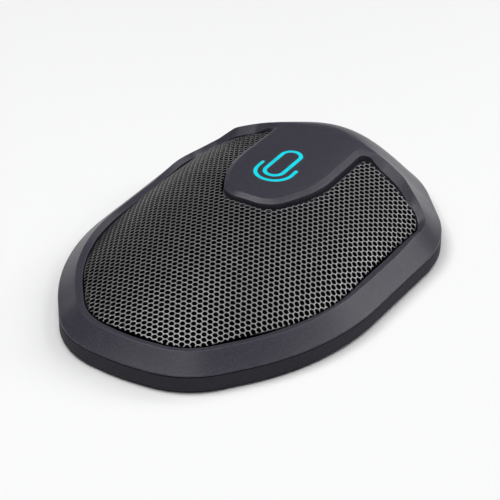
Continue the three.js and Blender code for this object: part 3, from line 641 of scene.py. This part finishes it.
def merged(*parts):
    """Several shapes as one."""
    vertices, faces = [], []
    for more_vertices, more_faces in parts:
        shift = len(vertices)
        vertices += list(more_vertices)
        faces += [tuple(v + shift for v in face) for face in more_faces]
    return vertices, faces


def welded(shape):
    """The same shape with coinciding vertices joined."""
    body = bmesh.new()
    made = [body.verts.new(vertex) for vertex in shape[0]]
    for face in shape[1]:
        corners = [made[v] for v in face]
        if len(set(corners)) == len(corners) and body.faces.get(corners) is None:
            body.faces.new(corners)
    bmesh.ops.remove_doubles(body, verts=body.verts, dist=WELD)
    body.verts.index_update()
    vertices = [tuple(vertex.co) for vertex in body.verts]
    faces = [tuple(vertex.index for vertex in face.verts) for face in body.faces]
    body.free()
    return vertices, faces


# Objects

def added(name, data):
    """A new object in the scene."""
    obj = bpy.data.objects.new(name, data)
    bpy.context.collection.objects.link(obj)
    return obj


def solid(name, shape):
    """An object in metres from a shape in millimetres, its faces turned outwards."""
    vertices, faces = shape
    mesh = bpy.data.meshes.new(name)
    mesh.from_pydata([(x * MM, y * MM, z * MM) for x, y, z in vertices], [], faces)
    body = bmesh.new()
    body.from_mesh(mesh)
    bmesh.ops.recalc_face_normals(body, faces=body.faces)
    body.to_mesh(mesh)
    body.free()
    return added(name, mesh)


def cut(obj, cutters):
    """Takes the cutters out of an object."""
    for cutter in cutters:
        modifier = obj.modifiers.new("cut", "BOOLEAN")
        modifier.object = cutter
        modifier.operation = "DIFFERENCE"
        modifier.solver = "EXACT"
    whole = obj.data
    graph = bpy.context.evaluated_depsgraph_get()
    obj.data = bpy.data.meshes.new_from_object(obj.evaluated_get(graph))
    obj.modifiers.clear()
    obj.data.name = obj.name
    bpy.data.meshes.remove(whole)


def piece(name, shape, slot, node, sharp=35, cutters=()):
    """A shaped object that rides on the root and stands for its CAD node."""
    obj = solid(name, shape)
    if cutters:
        cut(obj, cutters)
    obj.data.shade_smooth()
    obj.data.set_sharp_from_angle(angle=math.radians(sharp))
    obj.data.materials.clear()
    obj.data.materials.append(MATERIALS[slot])
    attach(obj, "root")
    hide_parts(node)
    return obj


def discard(obj):
    """Deletes an object and its mesh."""
    mesh = obj.data
    bpy.data.objects.remove(obj)
    bpy.data.meshes.remove(mesh)


# Materials

# Sockets of Blender's Mix node when it mixes colours
MIX_FACTOR, MIX_FIRST, MIX_SECOND, MIX_RESULT = 0, 6, 7, 2
EDGE_SAMPLES = 6


def shade(color, factor):
    """A colour made darker or lighter, up to white."""
    return tuple(min(1.0, value * factor) for value in color)


class Nodes:
    """A new material with short calls that add its nodes."""

    def __init__(self, name):
        self.material = bpy.data.materials.new(name)
        self.material.use_nodes = True
        self.tree = self.material.node_tree
        self.tree.nodes.clear()
        self.output = self.tree.nodes.new("ShaderNodeOutputMaterial")
        self.coords = self.tree.nodes.new("ShaderNodeTexCoord")

    def add(self, kind, **values):
        """A node: names that start with _ set its properties, the others its sockets."""
        node = self.tree.nodes.new(kind)
        for key, value in values.items():
            if key.startswith("_"):
                setattr(node, key[1:], value)
            else:
                node.inputs[key.replace("_", " ")].default_value = value
        return node

    def link(self, source, target):
        self.tree.links.new(source, target)

    def put(self, value, socket):
        """Gives a socket a colour or a number, or links another node's output to it."""
        if isinstance(value, tuple):
            socket.default_value = (*value, 1.0)
        elif isinstance(value, float):
            socket.default_value = value
        else:
            self.link(value, socket)

    def noise(self, scale, detail=2.0, rough=0.5):
        node = self.add("ShaderNodeTexNoise", Scale=scale, Detail=detail, Roughness=rough)
        self.link(self.coords.outputs["Object"], node.inputs["Vector"])
        return node.outputs["Fac"]

    def ramp(self, source, low, high, start=0.35, end=0.65):
        """A value that runs from low to high while its source runs from start to end."""
        node = self.add("ShaderNodeMapRange", From_Min=start, From_Max=end, To_Min=low, To_Max=high)
        self.link(source, node.inputs["Value"])
        return node.outputs["Result"]

    def patches(self, low, high, scale, detail=2.0, start=0.35, end=0.65):
        """Uneven patches that run from low to high."""
        return self.ramp(self.noise(scale, detail), low, high, start, end)

    def mix(self, factor, first, second):
        node = self.add("ShaderNodeMix", _data_type="RGBA")
        self.put(first, node.inputs[MIX_FIRST])
        self.put(second, node.inputs[MIX_SECOND])
        self.put(factor, node.inputs[MIX_FACTOR])
        return node.outputs[MIX_RESULT]

    def maths(self, operation, first, second):
        node = self.add("ShaderNodeMath", _operation=operation)
        self.put(first, node.inputs[0])
        self.put(second, node.inputs[1])
        return node.outputs[0]

    def times(self, first, second):
        return self.maths("MULTIPLY", first, second)

    def edges(self, radius, start=0.985, end=0.9):
        """1 along edges, up to that many millimetres away, and 0 elsewhere."""
        bevel_node = self.add("ShaderNodeBevel", _samples=EDGE_SAMPLES, Radius=radius * MM)
        geometry = self.add("ShaderNodeNewGeometry")
        dot = self.add("ShaderNodeVectorMath", _operation="DOT_PRODUCT")
        self.link(bevel_node.outputs["Normal"], dot.inputs[0])
        self.link(geometry.outputs["Normal"], dot.inputs[1])
        return self.ramp(dot.outputs["Value"], 0.0, 1.0, start, end)

    def bump(self, height, strength, depth):
        """Normals of a relief that many millimetres deep."""
        node = self.add("ShaderNodeBump", Strength=strength, Distance=depth * MM)
        self.link(height, node.inputs["Height"])
        return node.outputs["Normal"]

    def shader(self, color, roughness, normal=None, linked=(), **values):
        """Ends the material with its surface; linked pairs a socket's name with an output."""
        node = self.add("ShaderNodeBsdfPrincipled", **values)
        self.put(color, node.inputs["Base Color"])
        self.put(roughness, node.inputs["Roughness"])
        for key, value in linked:
            self.link(value, node.inputs[key])
        if normal is not None:
            self.link(normal, node.inputs["Normal"])
        self.link(node.outputs[0], self.output.inputs["Surface"])
        return self.material


def moulded(name, color, pale_wear_and_highlight, rough, sheen=0.5, rim=0.35, wear_and_highlight_start=0.45):
    """Injection-moulded plastic: fine spark texture, cloudy tone, pale edges that are handled wear and, on
    the cover, a painted highlight.
    """
    n = Nodes(name)
    tone = n.mix(n.patches(0.0, 1.0, scale=45.0, detail=3.0), shade(color, 0.93), color)
    speck = n.patches(0.0, 1.0, scale=5200.0, detail=1.0, start=0.42, end=0.6)
    tone = n.mix(n.times(speck, 0.22), tone, pale_wear_and_highlight)
    # Pale edge patches: handled wear, and on the cover, with its wide edge and low start, a painted
    # highlight along the crest and the lip
    scuff_and_highlight = n.times(n.edges(rim), n.patches(0.0, 1.0, scale=420.0, detail=4.0, start=wear_and_highlight_start, end=0.9))
    tone = n.mix(n.times(scuff_and_highlight, 0.7), tone, pale_wear_and_highlight)
    uneven = n.patches(rough - 0.03, rough + 0.03, scale=1600.0)
    roughness = n.maths("ADD", uneven, n.times(scuff_and_highlight, -0.1))
    grain = n.bump(n.noise(3200.0, rough=0.6), strength=0.35, depth=0.02)
    return n.shader(tone, roughness, grain, Specular_IOR_Level=sheen)


def painted_sheet(name, color, pale_wear_and_highlight, painted_hole_shade, rough, metallic):
    """Perforated sheet with a bright face and painted shade on the walls of its holes."""
    n = Nodes(name)
    tone = n.mix(n.patches(0.0, 1.0, scale=70.0), shade(color, 0.88), color)
    rub = n.times(n.edges(0.06), n.patches(0.2, 0.8, scale=900.0, detail=3.0))
    tone = n.mix(n.times(rub, 0.5), tone, pale_wear_and_highlight)
    # Faces that turn sideways, the walls of the holes, take painted shade
    wall_shade_normal = n.add("ShaderNodeSeparateXYZ")
    n.link(n.coords.outputs["Normal"], wall_shade_normal.inputs[0])
    tone = n.mix(n.ramp(wall_shade_normal.outputs["Z"], 0.0, 1.0, 0.3, 0.6), painted_hole_shade, tone)
    roughness = n.patches(rough - 0.06, rough + 0.08, scale=1500.0, detail=3.0)
    normal = n.bump(n.noise(6000.0), strength=0.2, depth=0.008)
    return n.shader(tone, roughness, normal, Metallic=metallic)


def woven(name, dark, light):
    """Thin woven cloth: two crossed thread waves."""
    n = Nodes(name)
    waves = []
    for direction in ("X", "Y"):
        wave = n.add("ShaderNodeTexWave", _bands_direction=direction, Scale=900.0, Distortion=0.6,
                     Detail_Scale=2.0)
        n.link(n.coords.outputs["Object"], wave.inputs["Vector"])
        waves.append(wave.outputs["Fac"])
    weave = n.times(*waves)
    fuzz = n.noise(2500.0, detail=3.0)
    tone = n.mix(n.times(weave, fuzz), dark, light)
    normal = n.bump(weave, strength=0.7, depth=0.06)
    return n.shader(tone, n.ramp(fuzz, 0.85, 1.0), normal,
                    Specular_IOR_Level=0.05, Sheen_Weight=0.02, Sheen_Roughness=0.6)


def lit_resin(name, color, strength):
    """Translucent inlay lit from below, a little uneven over its lamps."""
    n = Nodes(name)
    glow = n.patches(strength * 0.9, strength * 1.06, scale=260.0)
    tone = n.mix(n.patches(0.0, 1.0, scale=500.0), shade(color, 0.9), color)
    body = n.mix(0.9, tone, (0.0, 0.01, 0.012))
    normal = n.bump(n.noise(2500.0), strength=0.2, depth=0.01)
    roughness = n.patches(0.4, 0.55, scale=900.0)
    linked = [("Emission Color", tone), ("Emission Strength", glow)]
    return n.shader(body, roughness, normal, linked, Specular_IOR_Level=0.2)


def metal(name, color, rough, brushed=False):
    """Bare or plated metal, its grain drawn out along x where it is brushed."""
    n = Nodes(name)
    scale = (60.0, 4000.0, 4000.0) if brushed else (900.0, 900.0, 900.0)
    stretch = n.add("ShaderNodeMapping", Scale=scale)
    n.link(n.coords.outputs["Object"], stretch.inputs["Vector"])
    grain = n.add("ShaderNodeTexNoise", Scale=1.0, Detail=3.0)
    n.link(stretch.outputs["Vector"], grain.inputs["Vector"])
    tone = n.mix(n.ramp(grain.outputs["Fac"], 0.0, 1.0), shade(color, 0.8), color)
    tone = n.mix(n.times(n.edges(0.15), 0.4), tone, shade(color, 1.5))
    roughness = n.ramp(grain.outputs["Fac"], rough - 0.06, rough + 0.1)
    normal = n.bump(grain.outputs["Fac"], strength=0.25, depth=0.01)
    return n.shader(tone, roughness, normal, Metallic=1.0)


def rubbery(name, color):
    """Matt rubber with a little dust and pale edges."""
    n = Nodes(name)
    tone = n.mix(n.patches(0.0, 1.0, scale=300.0, detail=4.0), shade(color, 0.75), color)
    dust = n.patches(0.0, 0.3, scale=1400.0, detail=3.0, start=0.5, end=0.8)
    tone = n.mix(dust, tone, (0.06, 0.06, 0.058))
    tone = n.mix(n.times(n.edges(0.4), 0.35), tone, (0.05, 0.05, 0.05))
    normal = n.bump(n.noise(3500.0, detail=3.0), strength=0.5, depth=0.03)
    return n.shader(tone, n.patches(0.72, 0.9, scale=600.0, detail=3.0), normal)


def circuit(name):
    """Solder mask with rows of copper runs under it and small pads."""
    n = Nodes(name)
    cells = n.add("ShaderNodeTexVoronoi", _feature="F1", _distance="CHEBYCHEV", Scale=420.0)
    n.link(n.coords.outputs["Object"], cells.inputs["Vector"])
    pads = n.ramp(cells.outputs["Distance"], 1.0, 0.0, 0.08, 0.12)
    runs = n.add("ShaderNodeTexBrick", _offset=0.3, Scale=240.0, Mortar_Size=0.03)
    for key, grey in (("Color1", 0.0), ("Color2", 0.12), ("Mortar", 1.0)):
        n.put((grey, grey, grey), runs.inputs[key])
    n.link(n.coords.outputs["Object"], runs.inputs["Vector"])
    tone = n.mix(runs.outputs["Color"], (0.008, 0.07, 0.035), (0.02, 0.13, 0.06))
    tone = n.mix(pads, tone, (0.55, 0.5, 0.35))
    tone = n.mix(n.times(n.edges(0.2), 0.5), tone, (0.35, 0.32, 0.2))
    normal = n.bump(runs.outputs["Color"], strength=0.2, depth=0.02)
    return n.shader(tone, n.patches(0.3, 0.45, scale=400.0), normal)


MATERIALS = {
    # The cover's pale edge tone, 0.8 mm edge and low start paint a highlight along its crest and lip
    "cover_plastic": moulded("cover_plastic", (0.032, 0.0298, 0.0452), (0.17, 0.166, 0.19),
                             rough=0.36, sheen=0.31, rim=0.8, wear_and_highlight_start=0.25),
    "tray_plastic": moulded("tray_plastic", (0.03, 0.0282, 0.037), (0.11, 0.107, 0.122), rough=0.6,
                            sheen=0.06),
    # The third colour is painted shade on the walls of the grille's holes
    "grille_metal": painted_sheet("grille_metal", (0.25, 0.248, 0.252), (0.4, 0.4, 0.4),
                                  (0.012, 0.012, 0.013), rough=0.38, metallic=0.75),
    # The liner is black cloth, and these colours are darker still: painted shade seen through the grille's
    # holes
    "cloth": woven("acoustic_cloth", (0.001, 0.001, 0.0012), (0.006, 0.006, 0.0065)),
    "symbol": lit_resin("lit_symbol", (0.004, 0.8, 0.93), strength=0.86),
    "rubber": rubbery("foot_rubber", (0.012, 0.012, 0.013)),
    "plated_metal": metal("plated_metal", (0.62, 0.62, 0.64), rough=0.22),
    "screw_steel": metal("screw_steel", (0.16, 0.165, 0.18), rough=0.34),
    "ballast_steel": metal("ballast_steel", (0.42, 0.43, 0.45), rough=0.34, brushed=True),
    "circuit_board": circuit("circuit_board"),
    "chip_plastic": moulded("chip_plastic", (0.01, 0.01, 0.011), (0.05, 0.05, 0.05), rough=0.55),
    "connector_plastic": moulded("connector_plastic", (0.68, 0.64, 0.54), (0.8, 0.78, 0.7), rough=0.45),
    "ribbon": moulded("ribbon_film", (0.5, 0.5, 0.52), (0.7, 0.7, 0.7), rough=0.4),
    "lamp": moulded("lamp_resin", (0.75, 0.73, 0.6), (0.9, 0.9, 0.85), rough=0.25),
    "lead_insulation": rubbery("lead_insulation", (0.02, 0.02, 0.022)),
}
for entry in frame["record"]["subparts"]:
    for material_slot in frame["nodes"][entry["node"]].material_slots:
        material_slot.link = "OBJECT"
        material_slot.material = MATERIALS[entry["material_slot"]]


# Covers

def obround(half_width, half_height):
    """Loop of a flat-sided section with round ends."""
    reach = half_width - half_height
    return np.vstack([
        arc(reach, 0, half_height, -90, 90, steps=14),
        arc(-reach, 0, half_height, 90, 270, steps=14),
    ])


def socket_ring(offset, y):
    """Upright section of the socket, larger by an offset."""
    section = obround(SOCKET_WIDTH / 2 + offset, SOCKET_HEIGHT / 2 + offset)
    return np.c_[section[:, 0], np.full(len(section), y), section[:, 1] + SOCKET_Z]


def rounds(places, size):
    """Round levels of one size at several places."""
    radius, end, sides = size
    return [(circle(x, y, radius, sides), flat(end)) for x, y in places]


def cover_shell():
    """Cover with the symbol's grooves and light holes above, its bosses and collar below."""
    light_holes = [circle(x, y, LEG_RADIUS + LEG_CLEARANCE, sides=16) for x, y in CAPSULE_LEGS + BOW_LEGS]
    boundaries = [BODY, OPENING] + light_holes
    guides = [body_loop(inset) for inset in RIM_GUIDES]
    guides += [opening_loop(LIP_GAP + outset) for outset in EDGE_GUIDES]
    guides += [opening_loop(LIP_REACH + outset) for outset in LIP_GUIDES]
    groove_half = CAPSULE_STROKE / 2 + INLAY_GAP
    upper = surface(boundaries, cover_top, guides, [
        (opening_loop(LIP_GAP + GAP_WALL), gap_floor),
        (capsule_loop(CAPSULE_RADIUS + groove_half), groove_floor),
        (capsule_loop(CAPSULE_RADIUS - groove_half), cover_top),
        (bow_loop(BOW_STROKE / 2 + INLAY_GAP), groove_floor),
    ])
    lower = surface(boundaries, cover_under, [body_loop(UNDER_GUIDE)], [
        (opening_loop(COLLAR), collar_under),
        *rounds(JOIN_PLACES, COVER_BOSS),
        *rounds(JOIN_PLACES, COVER_BORE),
        *rounds(TOUCH_PLACES, TOUCH_BOSS),
        *rounds(TOUCH_PLACES, TOUCH_BORE),
    ], UNDER_STEP)
    return closed(upper, lower)


def tray_shell():
    """Band, lip, floor and bottom face as one closed skin."""
    bottom_vertices, bottom_faces, _ = surface([body_loop(BOTTOM_INSET)], flat(BAND_LOW), (), [
        *rounds(FOOT_PLACES, FOOT_RECESS),
        *rounds(JOIN_PLACES, SCREW_RECESS),
        *rounds(JOIN_PLACES, SCREW_HOLE),
    ], TRAY_STEP)
    floor_vertices, floor_faces, _ = surface([body_loop(FLOOR_INSET)], flat(TRAY_FLOOR), (), [
        *rounds(JOIN_PLACES, TRAY_BOSS),
        *rounds(BOARD_PLACES, BOARD_POST),
        *[(holder_loop(x, y), flat(HOLDER_TOP)) for x, y in MIC_PLACES],
    ], TRAY_STEP)
    rings = [np.c_[body_loop(inset), np.full(len(BODY), z)] for inset, z in BAND_PROFILE]
    return welded(merged(
        loft(rings, capped=False),
        (bottom_vertices, [tuple(reversed(face)) for face in bottom_faces]),
        (floor_vertices, floor_faces),
    ))


socket_slot = solid("socket_slot_cutter", loft([
    socket_ring(SOCKET_SLOT_GAP, SOCKET_REAR_Y - SOCKET_LENGTH),
    socket_ring(SOCKET_SLOT_GAP, SOCKET_SLOT_REAR_Y),
]))
piece("cover_shell", cover_shell(), "cover_plastic", "top_cover", sharp=40, cutters=[socket_slot])
piece("tray_shell", tray_shell(), "tray_plastic", "bottom_cover", sharp=40, cutters=[socket_slot])
discard(socket_slot)


# Grille and liner

def bent_length(run, bend):
    """Length of a sheet bent with that curvature, from its top out to a distance in plan."""
    return (run * np.sqrt(1 + (bend * run) ** 2) + np.arcsinh(bend * run) / bend) / 2


def bent_run(length, bend):
    """Distance in plan that a length of the bent sheet reaches, found in a few steps."""
    run = length.copy()
    for _ in range(BENT_STEPS):
        run -= (bent_length(run, bend) - length) / np.sqrt(1 + (bend * run) ** 2)
    return run


def from_sheet(flat_points):
    """Plan position of points given by their lengths across and along the crowned sheet."""
    across, along = flat_points[:, 0], flat_points[:, 1]
    back = bent_run(np.maximum(0, CROWN_FLAT_Y - along), 1 / CROWN_ALONG)
    y = np.where(along < CROWN_FLAT_Y, CROWN_FLAT_Y - back, along)
    return np.c_[bent_run(across, cross_curvature(y, CROSS_REAR)), y]


def to_sheet(points):
    """Lengths across and along the crowned sheet of points given in plan."""
    x, y = points[:, 0], points[:, 1]
    back = bent_length(np.maximum(0, CROWN_FLAT_Y - y), 1 / CROWN_ALONG)
    along = np.where(y < CROWN_FLAT_Y, CROWN_FLAT_Y - back, y)
    return np.c_[bent_length(x, cross_curvature(y, CROSS_REAR)), along]


LATTICE_START = to_sheet(np.array([[0.0, LATTICE_Y]]))[0, 1]


def has_hole(places, border):
    """True for each place of the lattice whose hole reaches inside the sheet's border."""
    return inside(places, border) | (nearest(places, border)[0] < HOLE_FLAT - HOLE_OVERLAP)


def lattice(border):
    """Centres of the holes in the sheet."""
    low, high = border.min(0), border.max(0)
    first_row = math.floor((low[1] - LATTICE_START) / ROW_GAP) - 1
    last_row = math.ceil((high[1] - LATTICE_START) / ROW_GAP) + 1
    columns = range(math.floor(low[0] / PITCH) - 1, math.ceil(high[0] / PITCH) + 2)
    places = []
    for row in range(first_row, last_row + 1):
        shift = PITCH / 2 if row % 2 else 0.0
        places += [(column * PITCH + shift, LATTICE_START + row * ROW_GAP) for column in columns]
    places = np.array(places)
    return places[has_hole(places, border)]


def hole_centre(points):
    """The lattice place nearest to each point of the sheet."""
    places = []
    for shift in (0, 1):
        row = np.round((points[:, 1] - LATTICE_START) / ROW_GAP / 2 - shift / 2) * 2 + shift
        column = np.round((points[:, 0] - shift * PITCH / 2) / PITCH)
        places.append(np.c_[column * PITCH + shift * PITCH / 2, LATTICE_START + row * ROW_GAP])
    gaps = [np.linalg.norm(points - place, axis=1) for place in places]
    return np.where((gaps[1] < gaps[0])[:, None], places[1], places[0])


def hole_section(half):
    """Angles and corners of a six-sided hole with clipped corners."""
    corners = math.pi / 6 + np.arange(6) * math.pi / 3
    angles = np.sort(np.concatenate([corners - HOLE_CORNER, corners + HOLE_CORNER]))
    reach = half / math.cos(math.pi / 6 - HOLE_CORNER)
    return angles, np.c_[np.cos(angles), np.sin(angles)] * reach


def hole_share(offsets, section):
    """How far each offset from a hole's centre lies towards the hole's edge, which is at 1."""
    angles, ring = section
    turn = np.arctan2(offsets[:, 1], offsets[:, 0]) % (2 * math.pi)
    here = (np.searchsorted(angles, turn) - 1) % len(ring)
    first, second = ring[here], ring[(here + 1) % len(ring)]
    along = second - first
    across = offsets[:, 0] * along[:, 1] - offsets[:, 1] * along[:, 0]
    return across / (first[:, 0] * along[:, 1] - first[:, 1] * along[:, 0])


def holed_triangles(border, guides, section):
    """Points and triangles of the flat sheet, inside its border and outside its holes."""
    holes = [centre + section[1] for centre in lattice(border)]
    points, triangles = triangulated([border, *guides, *holes], weld=1e-4, sliver=1e-10)
    middle = points[triangles].mean(1)
    centre = hole_centre(middle)
    in_hole = has_hole(centre, border) & (hole_share(middle - centre, section) < 1)
    triangles = triangles[inside(middle, border) & ~in_hole]
    used = np.unique(triangles)
    renumber = {int(old): new for new, old in enumerate(used)}
    return points[used], [tuple(renumber[int(v)] for v in face) for face in triangles]


def perforated_sheet():
    """The crowned sheet with its holes, eased hole edges and slightly rolled border."""
    insets = (0.0, ROLL_GUIDE, GRILLE_ROLL)
    border, *guides = (to_sheet(opening_loop(-GRILLE_GAP - inset)) for inset in insets)
    section = hole_section(HOLE_FLAT + HOLE_EASE)
    points, triangles = holed_triangles(border, guides, section)
    plan = from_sheet(points)
    edge = nearest(plan, opening_loop(-GRILLE_GAP))[0]
    top = crown(plan) - GRILLE_ROLL_DEPTH * np.clip(1 - edge / GRILLE_ROLL, 0, 1) ** 2
    hole = hole_centre(points)
    on_hole = abs(hole_share(points - hole, section) - 1) < ON_EDGE
    narrow = hole + (points - hole) * HOLE_FLAT / (HOLE_FLAT + HOLE_EASE)
    narrow_plan = from_sheet(np.where(on_hole[:, None], narrow, points))
    count = len(points)
    vertices = [(x, y, z - down) for down in (0.0, SHEET) for (x, y), z in zip(plan, top)]
    faces = triangles + [tuple(v + count for v in reversed(face)) for face in triangles]
    side = {(face[corner], face[(corner + 1) % 3]) for face in triangles for corner in range(3)}
    eased = {}
    for start, end in sorted(side):
        if (end, start) in side:
            continue
        for v in (start, end):
            if v not in eased:
                eased[v] = len(vertices)
                vertices.append((narrow_plan[v, 0], narrow_plan[v, 1], top[v] - HOLE_EASE))
        faces.append((eased[start], eased[end], end, start))
        faces.append((start + count, end + count, eased[end], eased[start]))
    return vertices, faces


def cloth_face(points):
    """Upper face of the liner."""
    return crown(points) - CLOTH_DEPTH


def liner(loop):
    """Thin cloth that follows the crown under the grille."""
    upper = surface([loop], cloth_face, step=CLOTH_STEP)
    lower = surface([loop], lambda points: cloth_face(points) - CLOTH_THICKNESS, step=CLOTH_STEP)
    return closed(upper, lower)


grille = piece("grille_sheet", perforated_sheet(), "grille_metal", "grille", sharp=50)

cloth_loop = opening_loop(-CLOTH_INSET)
cloth = piece("liner_cloth", liner(cloth_loop), "cloth", "acoustic_cloth")


# Symbol

def inlay(loops, legs):
    """A flush inlay with its light legs."""
    top = surface(loops, lambda points: arch(points) + TONGUE_RISE, step=INLAY_STEP)
    below = surface(loops, lambda points: groove_floor(points) + INLAY_UNDER, step=INLAY_UNDER_STEP)
    rods = [turned([(LEG_RADIUS, LEG_Z), (LEG_RADIUS, LEG_TOP)], x, y, sides=20) for x, y in legs]
    return merged(closed(top, below), *rods)


capsule_loops = [capsule_loop(CAPSULE_RADIUS + side * CAPSULE_STROKE / 2) for side in (1, -1)]
piece("symbol_capsule", inlay(capsule_loops, CAPSULE_LEGS), "symbol", "icon_ring", sharp=30)
piece("symbol_bow", inlay([bow_loop(BOW_STROKE / 2)], BOW_LEGS), "symbol", "icon_cradle", sharp=30)


# Feet, screws and socket

def cross_arms(x, y):
    """The two tapered arms that are cut into a screw's head at a place."""
    arms = []
    for half_x, half_y in ((CROSS_LENGTH_HALF, CROSS_WIDTH_HALF), (CROSS_WIDTH_HALF, CROSS_LENGTH_HALF)):
        corners = np.array([[-half_x, -half_y], [half_x, -half_y], [half_x, half_y], [-half_x, half_y]])
        wide = np.c_[corners + (x, y), np.full(4, CROSS_LOW)]
        narrow = np.c_[corners * CROSS_TAPER + (x, y), np.full(4, CROSS_TOP)]
        arms.append(solid("screw_recess", loft([wide, narrow])))
    return arms


def socket_shell():
    """Metal shell of the socket, open to the rear, with an eased edge."""
    front_y, edge_y = SOCKET_REAR_Y - SOCKET_LENGTH, SOCKET_REAR_Y - SOCKET_EDGE_RUN
    outer = [(0.0, front_y), (0.0, edge_y), (-SOCKET_EDGE, SOCKET_REAR_Y)]
    inner = [(SOCKET_EDGE, SOCKET_REAR_Y), (0.0, edge_y), (0.0, front_y + SOCKET_BACK)]
    inner = [(offset - SOCKET_SKIN, y) for offset, y in inner]
    return loft([socket_ring(offset, y) for offset, y in outer + inner])


for number, (x, y) in enumerate(FOOT_PLACES, 1):
    piece(f"rubber_foot_{number}", turned(FOOT_PROFILE, x, y, sides=64), "rubber", f"foot_{number}")

for number, (x, y) in enumerate(JOIN_PLACES, 1):
    arms = cross_arms(x, y)
    screw = turned(SCREW_PROFILE, x, y, sides=48)
    piece(f"cover_screw_{number}", screw, "screw_steel", f"base_screw_{number}", sharp=30, cutters=arms)
    for arm in arms:
        discard(arm)

piece("socket_shell", socket_shell(), "plated_metal", "usb_socket_shell", sharp=40)


# Camera, lights and floor

# Hole of the grille that the camera aims at, and where it lies in the photograph's 500 by 500 pixels
AIM = Vector((0.0, LATTICE_Y, 21.19)) * MM
AIM_PIXEL = (225.5, 221.9)
PICTURE = 500
AZIMUTH, ELEVATION, DISTANCE = math.radians(32.09), math.radians(30.82), 0.601
SENSOR, LENS = 36.0, 157.6
NEAR, FAR = 0.05, 20.0

# Rectangular lamps turned towards the middle of the floor: place in metres, size and watts
LAMPS = {
    "top": ((0.52, 0.3, 0.85), (0.4, 0.45), 1.45),
    "overhead": ((0.05, 0.0, 1.02), (0.28, 0.5), 2.1),
    "rear_right": ((0.62, 0.72, 0.55), (0.5, 0.45), 2.8),
    "front_left": ((-0.38, -0.17, 0.92), (0.3, 0.45), 2.9),
    "front": ((0.0, -0.52, 0.86), (1.0, 0.3), 2.8),
    "rear_top": ((0.1, 0.72, 0.66), (0.35, 0.3), 0.8),
}
SKY, SKY_STRENGTH = (0.95, 0.97, 1.0, 1.0), 0.08
PAPER_DARK, PAPER_LIGHT = (0.96, 0.96, 0.96), (0.975, 0.975, 0.975)
FLOOR_HALF = 4


def placed(name, data, place, towards):
    """A camera or lamp at a place, looking along a direction."""
    obj = added(name, data)
    obj.location = place
    obj.rotation_mode = "QUATERNION"
    obj.rotation_quaternion = towards.to_track_quat("-Z", "Y")
    return obj


level = math.cos(ELEVATION)
outwards = Vector((math.sin(AZIMUTH) * level, -math.cos(AZIMUTH) * level, math.sin(ELEVATION)))
camera_data = bpy.data.cameras.new("camera")
camera_data.sensor_width = SENSOR
camera_data.lens = LENS
camera_data.shift_x = (PICTURE / 2 - AIM_PIXEL[0]) / PICTURE
camera_data.shift_y = (AIM_PIXEL[1] - PICTURE / 2) / PICTURE
camera_data.clip_start, camera_data.clip_end = NEAR, FAR
bpy.context.scene.camera = placed("camera", camera_data, AIM + outwards * DISTANCE, -outwards)

for name, (place, size, watts) in LAMPS.items():
    lamp = bpy.data.lights.new(name, "AREA")
    lamp.shape = "RECTANGLE"
    lamp.size, lamp.size_y = size
    lamp.energy = watts
    placed(name, lamp, Vector(place), -Vector(place))

world = bpy.data.worlds.new("studio")
world.use_nodes = True
background = world.node_tree.nodes["Background"]
background.inputs["Color"].default_value = SKY
background.inputs["Strength"].default_value = SKY_STRENGTH
bpy.context.scene.world = world

floor_mesh = bpy.data.meshes.new("floor")
floor_corners = [(x * FLOOR_HALF, y * FLOOR_HALF, 0) for x, y in ((-1, -1), (1, -1), (1, 1), (-1, 1))]
floor_mesh.from_pydata(floor_corners, [], [(0, 1, 2, 3)])
paper = Nodes("paper_floor")
paper_tone = paper.mix(paper.patches(0.0, 1.0, scale=3.0), PAPER_DARK, PAPER_LIGHT)
floor_mesh.materials.append(paper.shader(paper_tone, 0.8, Specular_IOR_Level=0.1))
added("floor", floor_mesh)

bpy.context.scene.view_settings.view_transform = "Standard"
